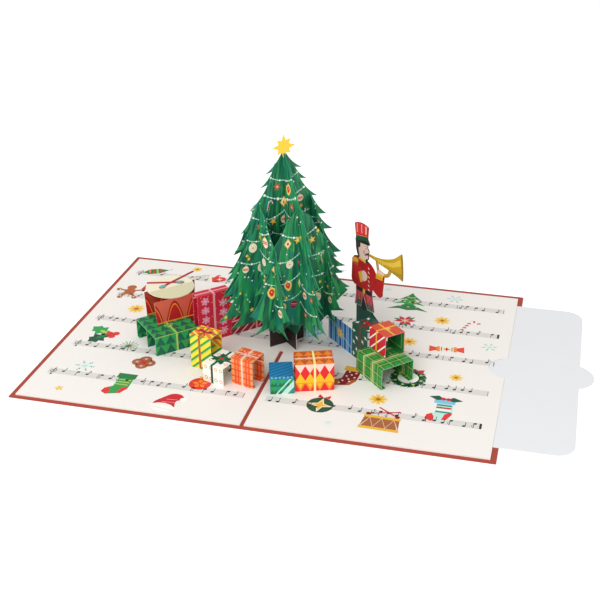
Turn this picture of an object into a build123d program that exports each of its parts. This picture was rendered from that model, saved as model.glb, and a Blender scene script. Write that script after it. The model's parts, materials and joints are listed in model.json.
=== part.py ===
from build123d import *
from math import atan2, degrees, radians, tan
import os

# A five by seven inch pop up card, open flat, with a slotted paper tree and folded gifts.
# Millimetres, +X to the right leaf, +Y to the rear edge, +Z up.
# The origin is at the middle of the fold, on the underside of the cover.

# Card, page and the pocket under the page's right leaf
leaf_width = 127.0
card_depth = 177.8
cover_card = 0.4
cover_corner = 0.6
score_width = 0.9
score_depth = 0.15
page_margin = 3.0
front_margin = 2.5
rear_margin = 3.9
page_card = 0.3
fold_slit = 2.2
bridge_length = 19.6
thumb_notch_depth = 9.4
thumb_notch_radius = 11.1

# Note card
note_stock = 0.25
note_clearance = 0.1
note_side_clearance = 0.6
note_end_clearance = 0.6
note_width = 103.0
note_depth = 151.6
note_corner = 10.0
note_inner_corner = 3.0
note_pulled_out = 44.0
tab_reach = 7.8
tab_root = 23.4

# Paper of the pieces that stand up
paper = 0.35
side_gap = 0.25
glue_flap = 2.4

# Tree slices
tree_apex = 113.2
apex_half_width = 1.3
tree_crown = 8.8
tree_half_width = 42.8
side_apex = 87.0
side_crown = 13.5
side_half_width = 33.0
branch_floor = 19.0
branch_curve = 1.5
branch_reach = 4.2
branch_share = 0.2
branch_rise = 0.9
branch_sag = 0.07
slice_spacing = 15.5
slot_clearance = 0.1
slot_meeting = 46.0
slot_web = 1.2
trunk_half_width = 11.0
trunk_height = 10.0

# Star on the tree
star_centre = 116.8
star_long_ray = 6.8
star_short_ray = 5.6
star_valley = 3.4
star_points = 8

# Wings of gifts, which run forward from the fold at this heading on both sides of the tree
wing_heading = 45.0
wing_setback = 23.7

striped_start = -22.6
striped_width = 24.0
striped_height = 17.0
striped_depth = 6.3
snowflake_width = 20.4
snowflake_height = 29.6
snowflake_depth = 6.3
table_width = 26.4
table_height = 11.3
table_depth = 27.0
table_rib_setback = 12.0

blue_start = 7.0
blue_width = 24.4
blue_height = 15.9
starry_width = 14.8
starry_height = 20.9
starry_depth = 12.3
arch_width = 24.2
arch_height = 12.3
arch_depth = 20.4
arch_step_forward = 6.9
stacked_inset = 0.5
stacked_step_back = 7.9
stacked_width = 15.0
stacked_height = 13.0
stacked_depth = 12.4

corner_gift_start = 11.8
corner_gift_setback = -2.0
corner_gift_width = 10.7
corner_gift_depth = 9.0
corner_gift_height = 7.6

# Drum on the table gift
drum_offset = 7.6
drum_width = 29.0
drum_flare = 1.2
drum_height = 14.2
drum_front_setback = 13.7
drum_head_radius = 13.8
drum_head_lead = 13.0
drum_head_tilt = 4.0
stick_width = 1.4
bead_length = 4.8
bead_width = 3.2
# Butt and bead of each stick, along and behind the middle of the drum head
sticks = (((19.4, 10.2), (-4.2, 0.9)), ((-10.0, 10.0), (6.7, 1.1)))

# Soldier, behind the right wing
soldier_setback = 37.6
soldier_height = 71.9
soldier_drawn_height = 71.9
soldier_flap = 4.0

# Gifts at the front edge: front left foot, heading, width, depth, height
front_gifts = {
    "yellow_gift": ((-43.6, -38.3), -14.0, 13.2, 11.2, 20.3),
    "white_gift": ((-32.5, -50.4), -19.5, 13.4, 17.2, 11.0),
    "orange_gift": ((-16.9, -49.3), -16.5, 13.4, 11.4, 16.3),
    "teal_gift": ((6.2, -55.8), 18.0, 12.6, 17.8, 8.9),
    "diamond_gift": ((18.5, -50.2), 19.0, 20.4, 13.9, 16.3),
}

page_half_width = leaf_width - page_margin
page_front = front_margin - card_depth / 2
page_rear = card_depth / 2 - rear_margin
pocket_depth = note_stock + 2 * note_clearance
page_top = cover_card + pocket_depth + page_card
slot_width = paper + 2 * slot_clearance


def plan_point(heading, along, back):
    """Plan point reached by going along a heading, then square off it towards the rear."""
    return Vector(along, back, 0).rotate(Axis.Z, heading)


def facing(foot, heading, base):
    """Upright plane of a wall: X runs along the wall, Y up, the normal towards the front."""
    run = Vector(1, 0, 0).rotate(Axis.Z, heading)
    rear = Vector(0, 1, 0).rotate(Axis.Z, heading)
    return Plane(origin=(foot.X, foot.Y, base), x_dir=run, z_dir=-rear)


def crossing(foot, heading, base):
    """Upright plane across a wall: X runs to the rear, Y up, the normal along the wall."""
    run = Vector(1, 0, 0).rotate(Axis.Z, heading)
    rear = Vector(0, 1, 0).rotate(Axis.Z, heading)
    return Plane(origin=(foot.X, foot.Y, base), x_dir=rear, z_dir=run)


def finish(part, name):
    """Label a finished piece and write its file."""
    part.label = name
    export_step(part, f"parts/{name}.step")


os.makedirs("parts", exist_ok=True)

# Cover, one sheet with a scored fold
with BuildPart() as cover:
    with BuildSketch():
        RectangleRounded(2 * leaf_width, card_depth, cover_corner)
    extrude(amount=cover_card)
    with BuildSketch(Plane.XZ.offset(-card_depth / 2)):
        with BuildLine():
            Polyline(
                (-score_width / 2, cover_card),
                (0, cover_card - score_depth),
                (score_width / 2, cover_card),
                close=True,
            )
        make_face()
    extrude(amount=card_depth, mode=Mode.SUBTRACT)
finish(cover.part, "cover")

# Page, slit along the fold but for the bridge that carries the trunk, with a pocket beneath
note_inner_edge = leaf_width - tab_reach - note_width
pocket_start = note_inner_edge - note_end_clearance
with BuildPart() as page:
    with BuildSketch(Plane.XY.offset(cover_card)):
        with Locations((0, page_front)):
            Rectangle(
                2 * page_half_width, page_rear - page_front, align=(Align.CENTER, Align.MIN)
            )
        for inner, outer in ((-bridge_length / 2, page_front), (bridge_length / 2, page_rear)):
            with Locations((0, (inner + outer) / 2)):
                Rectangle(fold_slit, abs(outer - inner), mode=Mode.SUBTRACT)
        with Locations((page_half_width - thumb_notch_depth + thumb_notch_radius, 0)):
            Circle(thumb_notch_radius, mode=Mode.SUBTRACT)
    extrude(amount=pocket_depth + page_card)
    with BuildSketch(Plane.XY.offset(cover_card)):
        with Locations((pocket_start, 0)):
            Rectangle(
                page_half_width - pocket_start,
                note_depth + 2 * note_side_clearance,
                align=(Align.MIN, Align.CENTER),
            )
    extrude(amount=pocket_depth, mode=Mode.SUBTRACT)
finish(page.part, "page")

# Note card with a rounded pull tab, drawn part of the way out of the pocket
note_edge = leaf_width - tab_reach + note_pulled_out
with BuildPart() as note:
    with BuildSketch(Plane.XY.offset(cover_card + note_clearance)) as note_outline:
        with Locations((note_edge, 0)):
            Rectangle(note_width, note_depth, align=(Align.MAX, Align.CENTER))
        fillet(note_outline.vertices().group_by(Axis.X)[-1], note_corner)
        fillet(note_outline.vertices().group_by(Axis.X)[0], note_inner_corner)
        with BuildLine():
            bulge = ThreePointArc(
                (note_edge, -tab_root / 2), (note_edge + tab_reach, 0), (note_edge, tab_root / 2)
            )
            Line(bulge @ 1, bulge @ 0)
        make_face()
    extrude(amount=note_stock)
finish(note.part, "note_card")

# Heights of the branch tips, as shares of the outline from the branch floor up
tree_tiers = (0.82, 0.753, 0.644, 0.53, 0.435, 0.283, 0.191, 0.155, 0.052)
side_tiers = (0.748, 0.57, 0.43, 0.3, 0.16)
# Fan of leaves under the lowest tier: tip, notch and so on, inwards
tree_fan = [(27.7, 25.5), (35.3, 18.0), (17.0, 19.3)]
side_fan = [(22.3, 26.3), (29.0, 19.6), (19.0, 22.0), (13.0, 16.5), (6.0, 21.0), (0, 17.5)]
trunk = [(trunk_half_width, trunk_height), (trunk_half_width, 0)]


slot_margin = slot_width / 2 + slot_web


def half_outline(apex, tiers, crown, half_width, foot):
    """Points down one side of a slice: its apex, each branch tip and notch, then its foot."""
    points = [(0, apex), (apex_half_width, apex)]
    for tier in tiers:
        height = branch_floor + tier * (apex + crown - branch_floor)
        tip = half_width * (1 - tier**branch_curve)
        # A branch ends short of the outer slot, or joins its slice beyond it
        if abs(tip - slice_spacing) < slot_margin:
            tip = slice_spacing - slot_margin
        notch = tip - max(branch_reach, branch_share * tip)
        if notch < slice_spacing + slot_margin < tip:
            notch = slice_spacing + slot_margin
        points.append((tip, height))
        points.append((notch, height + branch_rise))
    return points[:-1] + foot


def tree_slice(name, heading, setback, points, slots_from_below):
    """One upright slice of the tree, with three slots for the slices that cross it."""
    slot_low = 0 if slots_from_below else slot_meeting
    slot_high = slot_meeting if slots_from_below else tree_apex
    with BuildPart() as piece:
        with BuildSketch(facing(plan_point(heading, 0, setback), heading, page_top)):
            with BuildLine():
                for start, end in zip(points, points[1:]):
                    out = end[0] - start[0]
                    if out > branch_reach and end[1] < start[1]:
                        middle = ((start[0] + end[0]) / 2, (start[1] + end[1]) / 2)
                        droop = (middle[0] - branch_sag * out, middle[1] - branch_sag * out)
                        ThreePointArc(start, droop, end)
                    else:
                        Line(start, end)
                if points[-1][0] > 0:
                    Line(points[-1], (0, points[-1][1]))
                Line((0, points[-1][1]), points[0])
            make_face()
            mirror(about=Plane.YZ)
            with GridLocations(slice_spacing, 0, 3, 1):
                with Locations((0, slot_low)):
                    Rectangle(
                        slot_width,
                        slot_high - slot_low,
                        align=(Align.CENTER, Align.MIN),
                        mode=Mode.SUBTRACT,
                    )
        extrude(amount=paper / 2, both=True)
    finish(piece.part, name)


main_points = half_outline(tree_apex, tree_tiers, tree_crown, tree_half_width, tree_fan + trunk)
side_points = half_outline(side_apex, side_tiers, side_crown, side_half_width, side_fan)
tree_slice("tree_slice_front", wing_heading, -slice_spacing, side_points, True)
tree_slice("tree_slice_middle", wing_heading, 0, main_points, True)
tree_slice("tree_slice_rear", wing_heading, slice_spacing, side_points, True)
tree_slice("tree_cross_front", -wing_heading, -slice_spacing, side_points, False)
tree_slice("tree_cross_middle", -wing_heading, 0, main_points, False)
tree_slice("tree_cross_rear", -wing_heading, slice_spacing, side_points, False)

# Star, glued to the front of the middle slice and slit over the top of the slice across it
with BuildPart() as star:
    with BuildSketch(facing(Vector(0, 0, 0), wing_heading, page_top).offset(paper / 2)):
        rim = []
        for turn in range(2 * star_points):
            reach = star_valley
            if turn % 4 == 0:
                reach = star_long_ray
            elif turn % 2 == 0:
                reach = star_short_ray
            rim.append(Vector(0, reach).rotate(Axis.Z, turn * 180 / star_points))
        with Locations((0, star_centre)):
            Polygon(*[(point.X, point.Y) for point in rim], align=None)
        with Locations((0, tree_apex + slot_clearance)):
            Rectangle(
                slot_width, star_long_ray, align=(Align.CENTER, Align.MAX), mode=Mode.SUBTRACT
            )
    extrude(amount=paper)
finish(star.part, "tree_star")


def folded_gift(name, foot, heading, width, depth, height, base=page_top):
    """A strip folded into a front wall, a top and a rear wall on two flaps, open at the ends."""
    with BuildPart() as piece:
        with BuildSketch(crossing(foot, heading, base)):
            Rectangle(depth, height, align=(Align.MIN, Align.MIN))
            with Locations((paper, paper)):
                Rectangle(
                    depth - 2 * paper,
                    height - 2 * paper,
                    align=(Align.MIN, Align.MIN),
                    mode=Mode.SUBTRACT,
                )
            with Locations((depth / 2, 0)):
                Rectangle(
                    depth - 2 * paper - 2 * glue_flap,
                    paper,
                    align=(Align.CENTER, Align.MIN),
                    mode=Mode.SUBTRACT,
                )
        extrude(amount=width)
    finish(piece.part, name)


def standing_wall(name, foot, heading, width, height, base=page_top, flare=0.0, flap=0.0):
    """A single upright wall, wider at its top by the flare, with or without a flap behind."""
    with BuildPart() as piece:
        with BuildSketch(facing(foot, heading, base)):
            with BuildLine():
                Polyline((0, 0), (width, 0), (width + flare, height), (-flare, height), close=True)
            make_face()
        extrude(amount=-paper)
        if flap > 0:
            with BuildSketch(crossing(foot, heading, base)):
                Rectangle(flap, paper, align=(Align.MIN, Align.MIN))
            extrude(amount=width)
    finish(piece.part, name)


# Left wing, from the tree outwards
snowflake_start = striped_start - side_gap - snowflake_width
table_start = snowflake_start - side_gap - table_width
striped_foot = plan_point(wing_heading, striped_start, wing_setback)
snowflake_foot = plan_point(wing_heading, snowflake_start, wing_setback)
table_foot = plan_point(wing_heading, table_start, wing_setback)
rib_foot = plan_point(wing_heading, table_start, wing_setback + table_rib_setback)
folded_gift(
    "crimson_gift", striped_foot, wing_heading, striped_width, striped_depth, striped_height
)
folded_gift(
    "snowflake_gift",
    snowflake_foot,
    wing_heading,
    snowflake_width,
    snowflake_depth,
    snowflake_height,
)
folded_gift("triangle_gift", table_foot, wing_heading, table_width, table_depth, table_height)
standing_wall("triangle_gift_rib", rib_foot, wing_heading, table_width, table_height - paper)

# Drum: a front wall on the table gift, a rear wall behind it, and a creased head across both
drum_start = table_start + drum_offset
drum_front = wing_setback + drum_front_setback
drum_rear = wing_setback + table_depth
drum_base = page_top + table_height
head_pitch = tan(radians(drum_head_tilt))
head_rise = drum_head_lead * head_pitch
drum_front_foot = plan_point(wing_heading, drum_start, drum_front)
drum_rear_foot = plan_point(wing_heading, drum_start, drum_rear + side_gap)
drum_middle = plan_point(wing_heading, drum_start + drum_width / 2, drum_front)
head_middle = plan_point(wing_heading, drum_start + drum_width / 2, drum_front + drum_head_lead)
standing_wall(
    "drum_front_wall",
    drum_front_foot,
    wing_heading,
    drum_width,
    drum_height,
    drum_base,
    drum_flare,
)
standing_wall(
    "drum_rear_wall",
    drum_rear_foot,
    wing_heading,
    drum_width,
    table_height + drum_height + head_rise,
    page_top,
    drum_flare,
)
overhang = drum_head_radius - drum_head_lead
with BuildPart() as drum_head:
    with BuildSketch(crossing(drum_middle, wing_heading, drum_base + drum_height)):
        with BuildLine():
            Polyline(
                (-overhang, -overhang * head_pitch),
                (drum_head_lead, head_rise),
                (drum_head_lead + drum_head_radius, head_rise),
                (drum_head_lead + drum_head_radius, head_rise + paper),
                (drum_head_lead, head_rise + paper),
                (-overhang, paper - overhang * head_pitch),
                close=True,
            )
        make_face()
    extrude(amount=drum_head_radius, both=True)
    with BuildSketch(Plane.XY.offset(drum_base)):
        with Locations((head_middle.X, head_middle.Y)):
            Circle(drum_head_radius)
    extrude(amount=2 * drum_height, mode=Mode.INTERSECT)
finish(drum_head.part, "drum_head")

# Drumsticks, one cut out of two crossed sticks, lying on the level half of the head
stick_height = drum_base + drum_height + head_rise + paper
stick_run = Vector(1, 0, 0).rotate(Axis.Z, wing_heading)
stick_plane = Plane(origin=(head_middle.X, head_middle.Y, stick_height), x_dir=stick_run)
with BuildPart() as drumsticks:
    with BuildSketch(stick_plane):
        for butt, bead in sticks:
            shaft = Vector(*bead) - Vector(*butt)
            turn = degrees(atan2(shaft.Y, shaft.X))
            with Locations(((butt[0] + bead[0]) / 2, (butt[1] + bead[1]) / 2)):
                Rectangle(shaft.length, stick_width, rotation=turn)
            with Locations(bead):
                Ellipse(bead_length / 2, bead_width / 2, rotation=turn)
    extrude(amount=paper)
finish(drumsticks.part, "drumsticks")

# Right wing, from the tree outwards, with one gift standing on another
starry_start = blue_start + blue_width + side_gap
arch_start = starry_start + starry_width + side_gap
arch_setback = wing_setback - arch_step_forward
blue_foot = plan_point(-wing_heading, blue_start, wing_setback)
starry_foot = plan_point(-wing_heading, starry_start, wing_setback)
arch_foot = plan_point(-wing_heading, arch_start, arch_setback)
stacked_foot = plan_point(
    -wing_heading, arch_start + stacked_inset, arch_setback + stacked_step_back
)
standing_wall("blue_gift", blue_foot, -wing_heading, blue_width, blue_height, flap=glue_flap)
folded_gift("starry_gift", starry_foot, -wing_heading, starry_width, starry_depth, starry_height)
folded_gift("plaid_gift", arch_foot, -wing_heading, arch_width, arch_depth, arch_height)
folded_gift(
    "red_striped_gift",
    stacked_foot,
    -wing_heading,
    stacked_width,
    stacked_depth,
    stacked_height,
    page_top + arch_height,
)

# Small gift in the corner between the trunk and the right wing
corner_foot = plan_point(wing_heading, corner_gift_start, corner_gift_setback)
folded_gift(
    "corner_gift",
    corner_foot,
    wing_heading,
    corner_gift_width,
    corner_gift_depth,
    corner_gift_height,
)

# Gifts along the front edge
for name, (corner, heading, width, depth, height) in front_gifts.items():
    folded_gift(name, Vector(*corner), heading, width, depth, height)

# Marching toy soldier with a trumpet, one flat cut out on glued flaps, drawn on its own plane
soldier_foot = plan_point(-wing_heading, 0, soldier_setback)
soldier_scale = soldier_height / soldier_drawn_height
rear_boot = (15.7, 22.6)
front_boot = (33.5, 40.5)
with BuildPart() as soldier:
    with BuildSketch(facing(soldier_foot, -wing_heading, page_top)):
        # Hat, peak and hair
        with BuildLine():
            crown = ThreePointArc((11.3, 69.7), (18.6, 71.9), (25.1, 71.4))
            Polyline(
                crown @ 1, (24.6, 64.5), (26.8, 61.7), (24.8, 60.7), (14.0, 54.9), (12.2, 60.6),
                (13.6, 63.0), crown @ 0,
            )
        make_face()
        # Face with its nose and chin
        with BuildLine():
            Polyline(
                (14.0, 54.9), (24.8, 60.7), (24.7, 59.1), (26.6, 57.6), (25.5, 56.4), (25.7, 53.0),
                (24.4, 51.6), (23.0, 50.4), (16.7, 50.4), close=True,
            )
        make_face()
        # Coat with its two sleeves and tails
        with BuildLine():
            cuff = ThreePointArc((8.9, 36.0), (10.2, 33.4), (13.6, 32.9))
            hem = Polyline(
                cuff @ 1, (13.8, 27.8), (12.8, 20.5), (19.4, 21.4), (20.8, 26.5), (25.1, 21.7),
                (32.0, 22.9), (29.6, 31.6), (29.8, 36.3), (35.4, 34.4),
            )
            elbow = ThreePointArc(hem @ 1, (38.6, 35.2), (39.6, 38.6))
            Line(elbow @ 1, (40.8, 46.8))
            Line((40.8, 46.8), (33.9, 45.3))
            breast = ThreePointArc((33.9, 45.3), (30.6, 49.0), (24.0, 51.4))
            Polyline(breast @ 1, (16.7, 51.9), (11.4, 50.0), (9.3, 47.6), cuff @ 0)
        make_face()
        # Legs, the front one stepping out
        with BuildLine():
            Polyline(
                (rear_boot[0], 0), (15.4, 26.0), (29.4, 26.0), (30.2, 21.6), (38.6, 18.2),
                (38.2, 3.4), (front_boot[1], 1.4), (front_boot[1], 0), (front_boot[0], 0),
                (33.7, 13.0), (23.8, 14.6), (rear_boot[1], 0), close=True,
            )
        make_face()
        # Hand and the trumpet's tubing, which leaves a loop open
        with BuildLine():
            tubing = ThreePointArc((41.0, 48.6), (45.4, 50.6), (46.8, 55.4))
            Polyline(tubing @ 1, (32.5, 55.4), (34.0, 49.4), (33.7, 45.2), (40.8, 46.8), tubing @ 0)
        make_face()
        with BuildLine():
            inside = ThreePointArc((41.0, 50.5), (43.6, 51.6), (44.8, 54.2))
            Polyline(inside @ 1, (34.6, 54.2), (35.6, 50.9), inside @ 0)
        make_face(mode=Mode.SUBTRACT)
        # Horn of the trumpet
        with BuildLine():
            flare = ThreePointArc((25.6, 56.4), (41.4, 59.2), (56.0, 67.5))
            bell = ThreePointArc(flare @ 1, (57.5, 60.5), (57.8, 53.2))
            Polyline(bell @ 1, (47.0, 54.9), (25.6, 54.9), flare @ 0)
        make_face()
        scale(by=soldier_scale)
    extrude(amount=-paper)
    # A glued flap behind each boot
    for inner, outer in (rear_boot, front_boot):
        across = crossing(soldier_foot, -wing_heading, page_top)
        with BuildSketch(across.offset(inner * soldier_scale)):
            Rectangle(soldier_flap, paper, align=(Align.MIN, Align.MIN))
        extrude(amount=(outer - inner) * soldier_scale)
finish(soldier.part, "soldier")
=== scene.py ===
"""A printed holiday pop up card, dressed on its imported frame.

Every piece of the card is cut card in the frame. This script prints it: flat fields of ink as node
patterns in the finish of each piece, and ornaments, bows, notes and figures as thin slabs of ink
modelled once and stamped onto the walls, the tree and the page.
"""

import json
import logging
import math
import random
from dataclasses import dataclass, field
from enum import Enum
from typing import Optional, Sequence, Union

import bpy
from mathutils import Matrix, Vector


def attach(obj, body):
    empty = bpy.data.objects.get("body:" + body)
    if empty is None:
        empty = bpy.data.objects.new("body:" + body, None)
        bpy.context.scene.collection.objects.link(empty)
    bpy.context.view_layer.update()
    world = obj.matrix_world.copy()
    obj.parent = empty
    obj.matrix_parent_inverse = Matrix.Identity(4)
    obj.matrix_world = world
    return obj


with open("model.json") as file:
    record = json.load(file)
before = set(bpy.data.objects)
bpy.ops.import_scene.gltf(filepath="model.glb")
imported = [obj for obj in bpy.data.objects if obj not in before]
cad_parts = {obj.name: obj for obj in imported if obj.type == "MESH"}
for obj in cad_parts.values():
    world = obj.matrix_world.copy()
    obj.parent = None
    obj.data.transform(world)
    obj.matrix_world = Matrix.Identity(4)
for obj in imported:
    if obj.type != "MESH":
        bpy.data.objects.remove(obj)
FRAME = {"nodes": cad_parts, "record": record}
LOG = logging.getLogger("pop_up_card")
MM = 0.001
UP = Vector((0.0, 0.0, 1.0))

# Ink slabs reach this far into the card and rise by one step for each layer, in millimetres
INK_SINK = 0.02
INK_STEP = 0.02

# Top of the page above the table in millimetres, and heading of the left wing's walls in degrees.
# The right wing has the same heading with its sign turned.
PAGE_TOP = 1.15
WING = 45.0

# Strength of the reflections on ink and card
SPECULAR = 0.35
# The glued flaps at a gift's foot lie lower than this, in millimetres
FLAP_TOP = 0.8

Point = tuple[float, float]
Piece = bpy.types.Object
Shapes = list[bpy.types.Object]
Socket = bpy.types.NodeSocket
Value = Union[float, tuple, Socket]


class Ink(Enum):
    """Printing inks, by the sRGB colour that they have on this card."""

    WHITE = "FAF7F0"
    CREAM = "F1E9CF"
    # Darker cream of the printed ribbons and bows, also used as painted shade on the front half of the drum head
    SHADED_CREAM = "D8D1AB"
    SKIN = "EBC9BC"
    NOTE = "2C2928"
    BLACK = "201C1E"
    HAIR = "33302C"
    GOLD = "EDB634"
    LIGHT_GOLD = "F4D36A"
    BRASS = "C39A20"
    DARK_BRASS = "94731A"
    YELLOW = "F3DF38"
    ORANGE = "F0862A"
    DEEP_ORANGE = "E4481F"
    RUST = "B4602A"
    RED = "CE1F2A"
    BRIGHT_RED = "E0302A"
    DARK_RED = "8A1420"
    PINK = "EFA3AC"
    PALE_PINK = "FAD0C2"
    LIME = "A9C95E"
    LEAF = "2F9A48"
    GREEN = "1C7A3E"
    DARK_GREEN = "12513B"
    PINE = "0E6B47"
    TEAL = "1D8F7C"
    PALE_TEAL = "BFE6DC"
    SKY = "7FC3DC"
    BLUE = "2F74B8"
    DARK_BLUE = "1B4A86"
    BROWN = "A8643A"
    TRUNK = "2A1C18"
    SALMON = "D8624C"
    BRICK = "B23F2C"
    WALL_RED = "A8191F"
    SCARLET = "BE1B22"
    PEACH = "F6B98C"
    TERRACOTTA = "C4562A"
    BEAD = "5FA9A6"
    PALE_BLUE = "A9CFEA"
    DEEP_BLUE = "1B6FA8"
    WINE = "6F3032"
    PLAID = "2E7D35"
    COAT = "B81A20"
    PINE_DARK = "0F4A3C"
    BLUSH = "DFA091"
    OLIVE_BRASS = "A38A26"
    WINE_STICK = "AB1F29"
    PALE_LIME = "C9D68A"
    LIT_ORANGE = "EA7F45"
    LIT_BRASS = "DDBB45"
    STAR_GOLD = "FFCB38"
    FLAKE = "EC9DBB"
    LIT_GREEN = "22A14C"
    TOP_RED = "D9482A"
    SEA = "3A98BC"
    JADE = "0E5F4D"
    SUNNY = "FBC21E"
    LIGHT_YELLOW = "F7E79B"
    LIT_RED = "E3242A"
    CRIMSON = "CE1C3A"
    AMBER = "EB9A5C"

    def tint(self, other: str, share: float) -> str:
        """Mix this ink with another colour.

        Args:
            other: sRGB hex colour.
            share: of the other colour.

        Returns:
            The sRGB hex colour of the mix.
        """
        parts = []
        for start in (0, 2, 4):
            own, mixed = int(self.value[start:start + 2], 16), int(other[start:start + 2], 16)
            parts.append(f"{round(own + (mixed - own) * share):02X}")
        return "".join(parts)


def linear(colour: str) -> tuple[float, float, float, float]:
    """Turn an sRGB hex colour into linear values.

    Args:
        colour: six hex digits.

    Returns:
        Linear red, green, blue and an alpha of one.
    """
    values = []
    for start in (0, 2, 4):
        channel = int(colour[start : start + 2], 16) / 255
        values.append(channel / 12.92 if channel <= 0.04045 else ((channel + 0.055) / 1.055) ** 2.4)
    return values[0], values[1], values[2], 1.0


class Surface:
    """Node tree of one finish, with the place on the object in millimetres."""

    def __init__(self, name: str, roughness: float) -> None:
        """Start a finish.

        Args:
            name: what the finish is.
            roughness: of the uncoated shader.
        """
        self.material = bpy.data.materials.new(name)
        self.material.use_nodes = True
        self.tree = self.material.node_tree
        self.shader = self.tree.nodes["Principled BSDF"]
        self.shader.inputs["Roughness"].default_value = roughness
        self.shader.inputs["Specular IOR Level"].default_value = SPECULAR
        metres = self.add("TexCoord", {}, output="Object")
        self.place = self.add("VectorMath", {0: metres, "Scale": 1 / MM}, operation="SCALE")

    def add(
        self, kind: str, inputs: dict[Union[int, str], Value], output: Union[int, str] = 0, **settings: object
    ) -> Socket:
        """Add one shader node with its settings and links.

        Args:
            kind: node type without its ShaderNode prefix.
            inputs: value or socket for each input, by name or index.
            output: the output wanted, by name or index.
            settings: attributes of the node.

        Returns:
            The chosen output socket.
        """
        node = self.tree.nodes.new("ShaderNode" + kind)
        for name, setting in settings.items():
            setattr(node, name, setting)
        for key, value in inputs.items():
            socket = node.inputs[key]
            if isinstance(value, Socket):
                self.tree.links.new(value, socket)
            else:
                socket.default_value = value[:3] if socket.type == "VECTOR" else value
        return node.outputs[output]

    def blend(self, mask: Value, under: Value, over: Value) -> Socket:
        """Lay one colour over another where a mask is one.

        Args:
            mask: from nought to one.
            under: colour where the mask is nought.
            over: colour where the mask is one.

        Returns:
            The mixed colour.
        """
        return self.add("Mix", {0: mask, 6: under, 7: over}, output=2, data_type="RGBA")

    def along(self, direction: Vector, start: float) -> Socket:
        """Distance in millimetres from a start, along a direction.

        Args:
            direction: unit vector on the object.
            start: distance at which the count begins, in millimetres.

        Returns:
            The distance.
        """
        reach = self.add("VectorMath", {0: self.place, 1: tuple(direction)}, output=1, operation="DOT_PRODUCT")
        return self.add("Math", {0: reach, 1: start}, operation="SUBTRACT")

    def between(self, value: Value, lowest: float, highest: float) -> Socket:
        """One where the value lies between two limits."""
        spread = {0: value, 1: (lowest + highest) / 2, 2: (highest - lowest) / 2}
        return self.add("Math", spread, operation="COMPARE")

    def repeat(self, distance: Value, pitch: float, shift: float) -> Socket:
        """Offset from the middle of the nearest repeat, as a share of the pitch.

        Args:
            distance: in millimetres.
            pitch: of the repeats, in millimetres.
            shift: of the repeats, as a share of the pitch.

        Returns:
            From minus a half to a half.
        """
        cell = self.add("Math", {0: distance, 1: 1 / pitch, 2: shift}, operation="MULTIPLY_ADD")
        cycle = self.add("Math", {0: cell}, operation="FRACT")
        return self.add("Math", {0: cycle, 1: 0.5}, operation="SUBTRACT")

    def fibres(
        self, colour: Value, mottle: float = 0.05, size: float = 0.35, bump: float = 0.01
    ) -> Socket:
        """Vary a colour as paper fibres do, and raise them slightly.

        Left as they are, the values are those of coated card, where a flock is a third of a
        millimetre across.

        Args:
            colour: colour to vary.
            mottle: share by which it varies.
            size: size of a flock of fibres in millimetres.
            bump: height of the fibres in millimetres.

        Returns:
            The varied colour.
        """
        flock = self.add("TexNoise", {"Vector": self.place, "Scale": 1 / size, "Detail": 3.0, "Roughness": 0.6})
        span = {"Value": flock, "To Min": 1 - mottle, "To Max": 1 + mottle}
        share = self.add("MapRange", span)
        normal = self.add("Bump", {"Strength": 0.35, "Distance": bump * MM, "Height": flock})
        self.tree.links.new(normal, self.shader.inputs["Normal"])
        return self.add("VectorMath", {0: colour, "Scale": share}, operation="SCALE")

    def cut_edges(self, colour: Value, faces: Sequence[Vector], core: str) -> Socket:
        """Show the core of the card where a face is none of the printed ones.

        Args:
            colour: colour of the printed faces.
            faces: directions that the printed faces look along.
            core: sRGB hex colour of the core.

        Returns:
            The colour of the whole piece.
        """
        normal = self.add("NewGeometry", {}, output="True Normal")
        printed: Value = 0.0
        for direction in faces:
            tilt = self.add("VectorMath", {0: normal, 1: tuple(direction)}, output=1, operation="DOT_PRODUCT")
            facing = self.add("Math", {0: tilt}, operation="ABSOLUTE")
            printed = self.add("Math", {0: printed, 1: facing}, operation="MAXIMUM")
        mask = self.add("Math", {0: printed, 1: 0.5}, operation="GREATER_THAN")
        return self.blend(mask, linear(core), colour)

    def inside(self, back: Vector, behind: Value, depth: float, height: Value) -> Socket:
        """Mask of the sides of a folded strip that look into its hollow.

        Args:
            back: direction towards its rear wall.
            behind: distance from its front wall.
            depth: from its front wall to its rear wall.
            height: above its foot.

        Returns:
            One on the inner sides and on the glued flaps at its foot.
        """
        normal = self.add("NewGeometry", {}, output="True Normal")
        tilt = self.add("VectorMath", {0: normal, 1: tuple(back)}, output=1, operation="DOT_PRODUCT")
        upwards = self.add("VectorMath", {0: normal, 1: (0.0, 0.0, 1.0)}, output=1, operation="DOT_PRODUCT")
        offset = self.add("Math", {0: behind, 1: depth / 2}, operation="SUBTRACT")
        half = self.add("Math", {0: offset}, operation="SIGN")
        inwards = self.add("Math", {0: tilt, 1: half}, operation="MULTIPLY")
        wall = self.add("Math", {0: inwards, 1: -0.5}, operation="LESS_THAN")
        ceiling = self.add("Math", {0: upwards, 1: -0.5}, operation="LESS_THAN")
        lining = self.add("Math", {0: wall, 1: ceiling}, operation="MAXIMUM")
        foot = self.add("Math", {0: height, 1: FLAP_TOP}, operation="LESS_THAN")
        return self.add("Math", {0: lining, 1: foot}, operation="MAXIMUM")

    def finish(self, colour: Value) -> bpy.types.Material:
        """Set the colour.

        Args:
            colour: value or socket.

        Returns:
            The finished material.
        """
        if isinstance(colour, Socket):
            self.tree.links.new(colour, self.shader.inputs["Base Color"])
        else:
            self.shader.inputs["Base Color"].default_value = colour
        return self.material


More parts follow.
